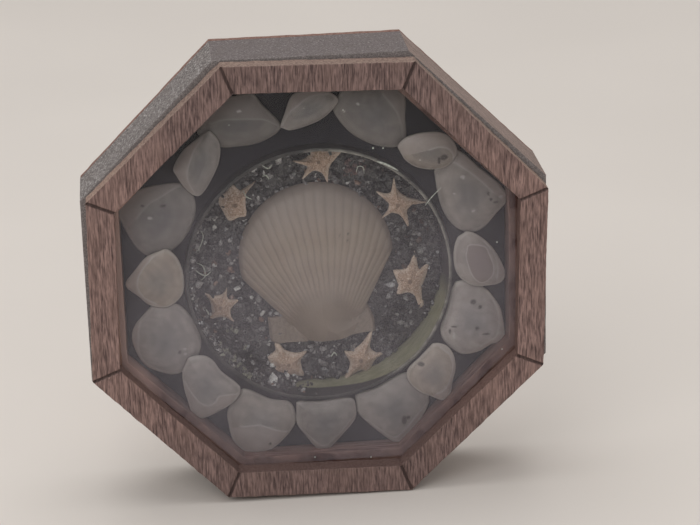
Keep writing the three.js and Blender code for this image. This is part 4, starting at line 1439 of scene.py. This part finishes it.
@once
def starfish_skin():
    """Dry peach skin with fine grains."""
    look, c = Shader("Starfish Skin", 0.7, 0.3), colours()
    beads = look.noise(0.3 * MM, 2)
    tan = look.mix(look.span(beads, 0.36, 0.46), STAR_DARK, c.star_peach)
    tan = look.mix(look.span(beads, 0.58, 0.66), tan, STAR_CREAM)
    outer = look.math("MAXIMUM", look.span(look.mark("share"), 0.62, 0.9),
                      look.span(look.mark("reach"), 0.45, 0.85))
    pale = look.mix(look.span(beads, 0.38, 0.5), c.star_peach, STAR_CREAM)
    base = look.mix(look.math("MULTIPLY", outer, 0.85), tan, pale)
    centre = look.span(look.mark("reach"), 0.10, 0.05)
    look.put({"Base Color": look.mix(centre, base, STAR_MIDDLE)})
    look.bump(beads, 0.5, 0.08 * MM)
    return look.material


@once
def valve_shell():
    """Smooth grey shell, a little see-through, with growth lines and its own spots."""
    look, c = Shader("Valve Shell", 0.4, 0.45), colours()
    cloud = look.noise(2.6 * MM, 3)
    rings = look.math("SINE", look.math("MULTIPLY", look.mark("age"), 38.0))
    base = look.mix(look.span(cloud, 0.35, 0.7, 0.0, 0.22), c.valve_grey, c.valve_rim)
    base = look.mix(look.mark("warm"), base,
                    look.mix(look.span(cloud, 0.35, 0.7), VALVE_WARM_DARK, VALVE_WARM_LIGHT))
    base = look.times(base, look.span(rings, -1.0, 1.0), *VALVE_BANDS)
    base = look.times(base, look.span(look.mark("share"), 0.0, 0.85), *VALVE_MIDDLE_TO_RIM)
    base = look.mix(look.part_of("zone", 0.5), base, VALVE_THIN)
    patch = look.mark("patch")
    ring = look.math("MULTIPLY", look.span(patch, 0.02, 0.25), look.span(patch, 0.75, 0.4))
    base = look.mix(look.math("MULTIPLY", ring, 0.5), base, PATCH_RING)
    base = look.mix(look.span(patch, 0.4, 1.0, 0.0, 0.85), base, PATCH_DARK)
    base = look.mix(look.span(look.mark("share"), 0.86, 0.985, 0.0, 0.5), base, c.valve_rim)
    base = look.mix(look.part_of("line", 0.5), base, VALVE_LINE)
    # the tone is partly painted shade, darker for the valves at the top
    tone = look.node("ShaderNodeCombineXYZ", {axis: look.mark("tone") for axis in "XYZ"})
    base = look.mix(1.0, base, tone.outputs[0], "MULTIPLY")
    base = look.mix(look.part_of("dark_spot", 0.85), base, SPOT_DARK)
    base = look.mix(look.part_of("pale_spot", 0.6), base, SPOT_PALE)
    look.put({"Base Color": base, **VALVE_GLOW})
    look.bump(cloud, 0.12, 0.2 * MM)
    return look.material


@once
def pale_fibre():
    """Pale greenish-white fibre and dust."""
    look = Shader("Pale Fibre", 0.4, 0.5)
    fine = look.noise(0.6 * MM, 2)
    look.put({"Base Color": look.mix(look.span(fine, 0.3, 0.7), FIBRE_GREEN, FIBRE_PALE)})
    return look.material


@once
def pane_glass():
    """Clear glass that lets lamps through."""
    look = Shader("Pane Glass", 0.02, 0.5)
    look.put({"Base Color": GLASS_TINT, "Transmission Weight": 1.0, "IOR": GLASS_IOR})
    path = look.node("ShaderNodeLightPath").outputs
    passes = look.math("MAXIMUM", path["Is Shadow Ray"], path["Is Diffuse Ray"])
    clear = look.node("ShaderNodeBsdfTransparent").outputs[0]
    mixed = look.node("ShaderNodeMixShader", {"Fac": passes, 1: look.surface.outputs[0], 2: clear})
    look.join(mixed.outputs[0], look.tree.nodes["Material Output"].inputs["Surface"])
    return look.material


@once
def pane_dust_and_reflection_film():
    """Thin haze on the pane, denser towards the bottom: specks of dust and a pale veil of painted
    reflection.
    """
    look = Shader("Pane Film", 0.9, 0.1)
    height = look.axes(look.place)["Z"]
    # painted reflection: the veil is densest low on the pane and fades out towards the top
    low = look.span(height, MIDDLE_Z, MIDDLE_Z + 38 * MM, 1.1, 0.03)
    bottom = look.span(height, MIDDLE_Z - 40 * MM, MIDDLE_Z - 15 * MM, 0.98, 1.0)
    low = look.math("MULTIPLY", low, bottom)
    patch = look.span(look.noise(14 * MM, 3), 0.3, 0.7, 0.75, 1.25)
    dust = look.group(dust_group(), place=look.place, speck_size=0.35 * MM, amount=0.12)
    haze = look.math("MULTIPLY", look.math("MULTIPLY", low, patch), sizes().pane_haze)
    share = look.math("ADD", haze, look.math("MULTIPLY", dust["Share"], 0.3), clamp=True)
    look.put({"Base Color": FILM_GREY, "Alpha": share})
    return look.material


@once
def floor_surface():
    """Plain matt surface, very faintly uneven."""
    look, c = Shader("Pale Floor", 0.9, 0.1), colours()
    cloud = look.noise(0.15, 2)
    shaded = tuple(value * 0.97 for value in c.floor_pale)
    look.put({"Base Color": look.mix(look.span(cloud, 0.35, 0.65), shaded, c.floor_pale)})
    return look.material


# Stage: camera, floor and light. Each lamp has its place, size, power in watts and colour.

LAMPS = {
    "overhead_lamp": ((-0.1, 0.12, 1.1), 1.0, 5.2, (1.0, 0.98, 0.96)),
    "front_lamp": ((-0.4, -0.8, 0.85), 0.7, 2.9, (1.0, 0.97, 0.95)),
}
ROOM_COLOUR = (0.92, 0.91, 0.90)
ROOM_STRENGTH = 0.55


def make_camera():
    """The camera where the photograph was taken from."""
    data = bpy.data.cameras.new("view_camera")
    data.sensor_width = SENSOR
    data.lens = FOCAL_PIXELS / PHOTO_WIDTH * SENSOR
    data.clip_start, data.clip_end = 0.01, 20
    camera = bpy.data.objects.new("view_camera", data)
    camera.location = CAMERA_PLACE
    camera.rotation_euler = [math.radians(angle) for angle in CAMERA_TURN]
    bpy.context.scene.collection.objects.link(camera)
    bpy.context.scene.camera = camera


def make_floor():
    """A wide floor that curves up into a backdrop far behind the box."""
    half, bend, radius, steps = 3.0, 1.0, 0.8, 12
    rows = [(-half, 0.0), (0.0, 0.0), (bend, 0.0)]
    for i in range(1, steps + 1):
        angle = math.pi / 2 * i / steps
        rows.append((bend + radius * math.sin(angle), radius * (1 - math.cos(angle))))
    rows.append((bend + radius, half))
    points = [(side * half, y, z) for y, z in rows for side in (-1, 1)]
    mesh = bpy.data.meshes.new("floor")
    mesh.from_pydata(points, [], [tuple(map(int, face)) for face in grid_faces(len(rows), 2)])
    mesh.polygons.foreach_set("use_smooth", [True] * len(mesh.polygons))
    mesh.materials.append(floor_surface())
    floor = bpy.data.objects.new("floor", mesh)
    bpy.context.scene.collection.objects.link(floor)


def make_light():
    """Soft light from a pale room and from lamps that shine at the middle of the box."""
    world = bpy.data.worlds.new("soft_room")
    world.use_nodes = True
    room = world.node_tree.nodes["Background"].inputs
    room["Color"].default_value = (*ROOM_COLOUR, 1)
    room["Strength"].default_value = ROOM_STRENGTH
    bpy.context.scene.world = world
    for name, (place, size, power, colour) in LAMPS.items():
        data = bpy.data.lights.new(name, "AREA")
        data.shape = "DISK"
        data.size = size
        data.energy = power
        data.color = colour
        lamp = bpy.data.objects.new(name, data)
        lamp.location = place
        aim = np.array((0, 0, MIDDLE_Z)) - place
        lamp.rotation_euler = Vector(aim).to_track_quat("-Z", "Y").to_euler()
        bpy.context.scene.collection.objects.link(lamp)
    bpy.context.scene.view_settings.view_transform = "Standard"


# Operators


class PieceOperator:
    """Shared settings of the operators below."""

    bl_options = {"REGISTER", "UNDO"}


class SHELLBOX_OT_front_frame(PieceOperator, bpy.types.Operator):
    """Build the flat wooden frame on the front"""

    bl_idname = "shellbox.front_frame"
    bl_label = "Front Frame"

    def execute(self, context):
        make_frame_piece()
        return {"FINISHED"}


class SHELLBOX_OT_case(PieceOperator, bpy.types.Operator):
    """Build the wall of the box and its back board"""

    bl_idname = "shellbox.case"
    bl_label = "Wall and Back"

    def execute(self, context):
        make_wall_piece()
        make_back_piece()
        return {"FINISHED"}


class SHELLBOX_OT_pane(PieceOperator, bpy.types.Operator):
    """Give the pane its glass and its film of dust and painted reflection"""

    bl_idname = "shellbox.pane"
    bl_label = "Glass Pane"

    def execute(self, context):
        make_pane()
        return {"FINISHED"}


class SHELLBOX_OT_board(PieceOperator, bpy.types.Operator):
    """Give the dark board its finish"""

    bl_idname = "shellbox.board"
    bl_label = "Dark Board"

    def execute(self, context):
        dress_node("shell_board", board_black())
        return {"FINISHED"}


class SHELLBOX_OT_well(PieceOperator, bpy.types.Operator):
    """Build the side of the well and the sand in it"""

    bl_idname = "shellbox.well"
    bl_label = "Well and Sand"

    def execute(self, context):
        make_well_piece()
        make_sand_piece()
        return {"FINISHED"}


class SHELLBOX_OT_scallop(PieceOperator, bpy.types.Operator):
    """Build the ribbed scallop"""

    bl_idname = "shellbox.scallop"
    bl_label = "Scallop"

    def execute(self, context):
        make_scallop_piece()
        return {"FINISHED"}


class SHELLBOX_OT_starfish(PieceOperator, bpy.types.Operator):
    """Build the seven starfish"""

    bl_idname = "shellbox.starfish"
    bl_label = "Starfish"

    def execute(self, context):
        for number, node in enumerate(STARFISH):
            make_starfish_piece(node, number)
        return {"FINISHED"}


class SHELLBOX_OT_valves(PieceOperator, bpy.types.Operator):
    """Build the sixteen small valves"""

    bl_idname = "shellbox.valves"
    bl_label = "Small Valves"

    def execute(self, context):
        for number, node in enumerate(VALVES):
            make_valve_piece(node, number)
        return {"FINISHED"}


class SHELLBOX_OT_oddments(PieceOperator, bpy.types.Operator):
    """Add the fibres in the well and the specks on the pane"""

    bl_idname = "shellbox.oddments"
    bl_label = "Fibres and Specks"

    def execute(self, context):
        make_oddments()
        return {"FINISHED"}


class SHELLBOX_OT_stage(PieceOperator, bpy.types.Operator):
    """Set up the camera, the floor and the light"""

    bl_idname = "shellbox.stage"
    bl_label = "Stage"

    def execute(self, context):
        make_camera()
        make_floor()
        make_light()
        return {"FINISHED"}


OPERATORS = (
    SHELLBOX_OT_front_frame, SHELLBOX_OT_case, SHELLBOX_OT_pane, SHELLBOX_OT_board,
    SHELLBOX_OT_well, SHELLBOX_OT_scallop, SHELLBOX_OT_starfish, SHELLBOX_OT_valves,
    SHELLBOX_OT_oddments, SHELLBOX_OT_stage,
)


class SHELLBOX_PT_panel(bpy.types.Panel):
    """Lists the pieces of the box, its sizes and its colours"""

    bl_label = "Shell Box"
    bl_idname = "SHELLBOX_PT_panel"
    bl_space_type = "VIEW_3D"
    bl_region_type = "UI"
    bl_category = "Shell Box"

    def draw(self, context):
        layout = self.layout
        for operator in OPERATORS:
            layout.operator(operator.bl_idname)
        for group in (context.scene.shell_box_sizes, context.scene.shell_box_colours):
            column = layout.column(align=True)
            for name in group.__annotations__:
                column.prop(group, name)


CLASSES = (ShellBoxSizes, ShellBoxColours, *OPERATORS, SHELLBOX_PT_panel)


def register():
    """Adds the classes and gives every scene its sizes and colours."""
    for item in CLASSES:
        bpy.utils.register_class(item)
    bpy.types.Scene.shell_box_sizes = PointerProperty(type=ShellBoxSizes)
    bpy.types.Scene.shell_box_colours = PointerProperty(type=ShellBoxColours)


def unregister():
    """Takes away what register added."""
    del bpy.types.Scene.shell_box_colours
    del bpy.types.Scene.shell_box_sizes
    for item in reversed(CLASSES):
        bpy.utils.unregister_class(item)


def main():
    """Builds the box and its stage."""
    register()
    for operator in OPERATORS:
        group, name = operator.bl_idname.split(".")
        getattr(getattr(bpy.ops, group), name)()


if __name__ == "__main__":
    main()
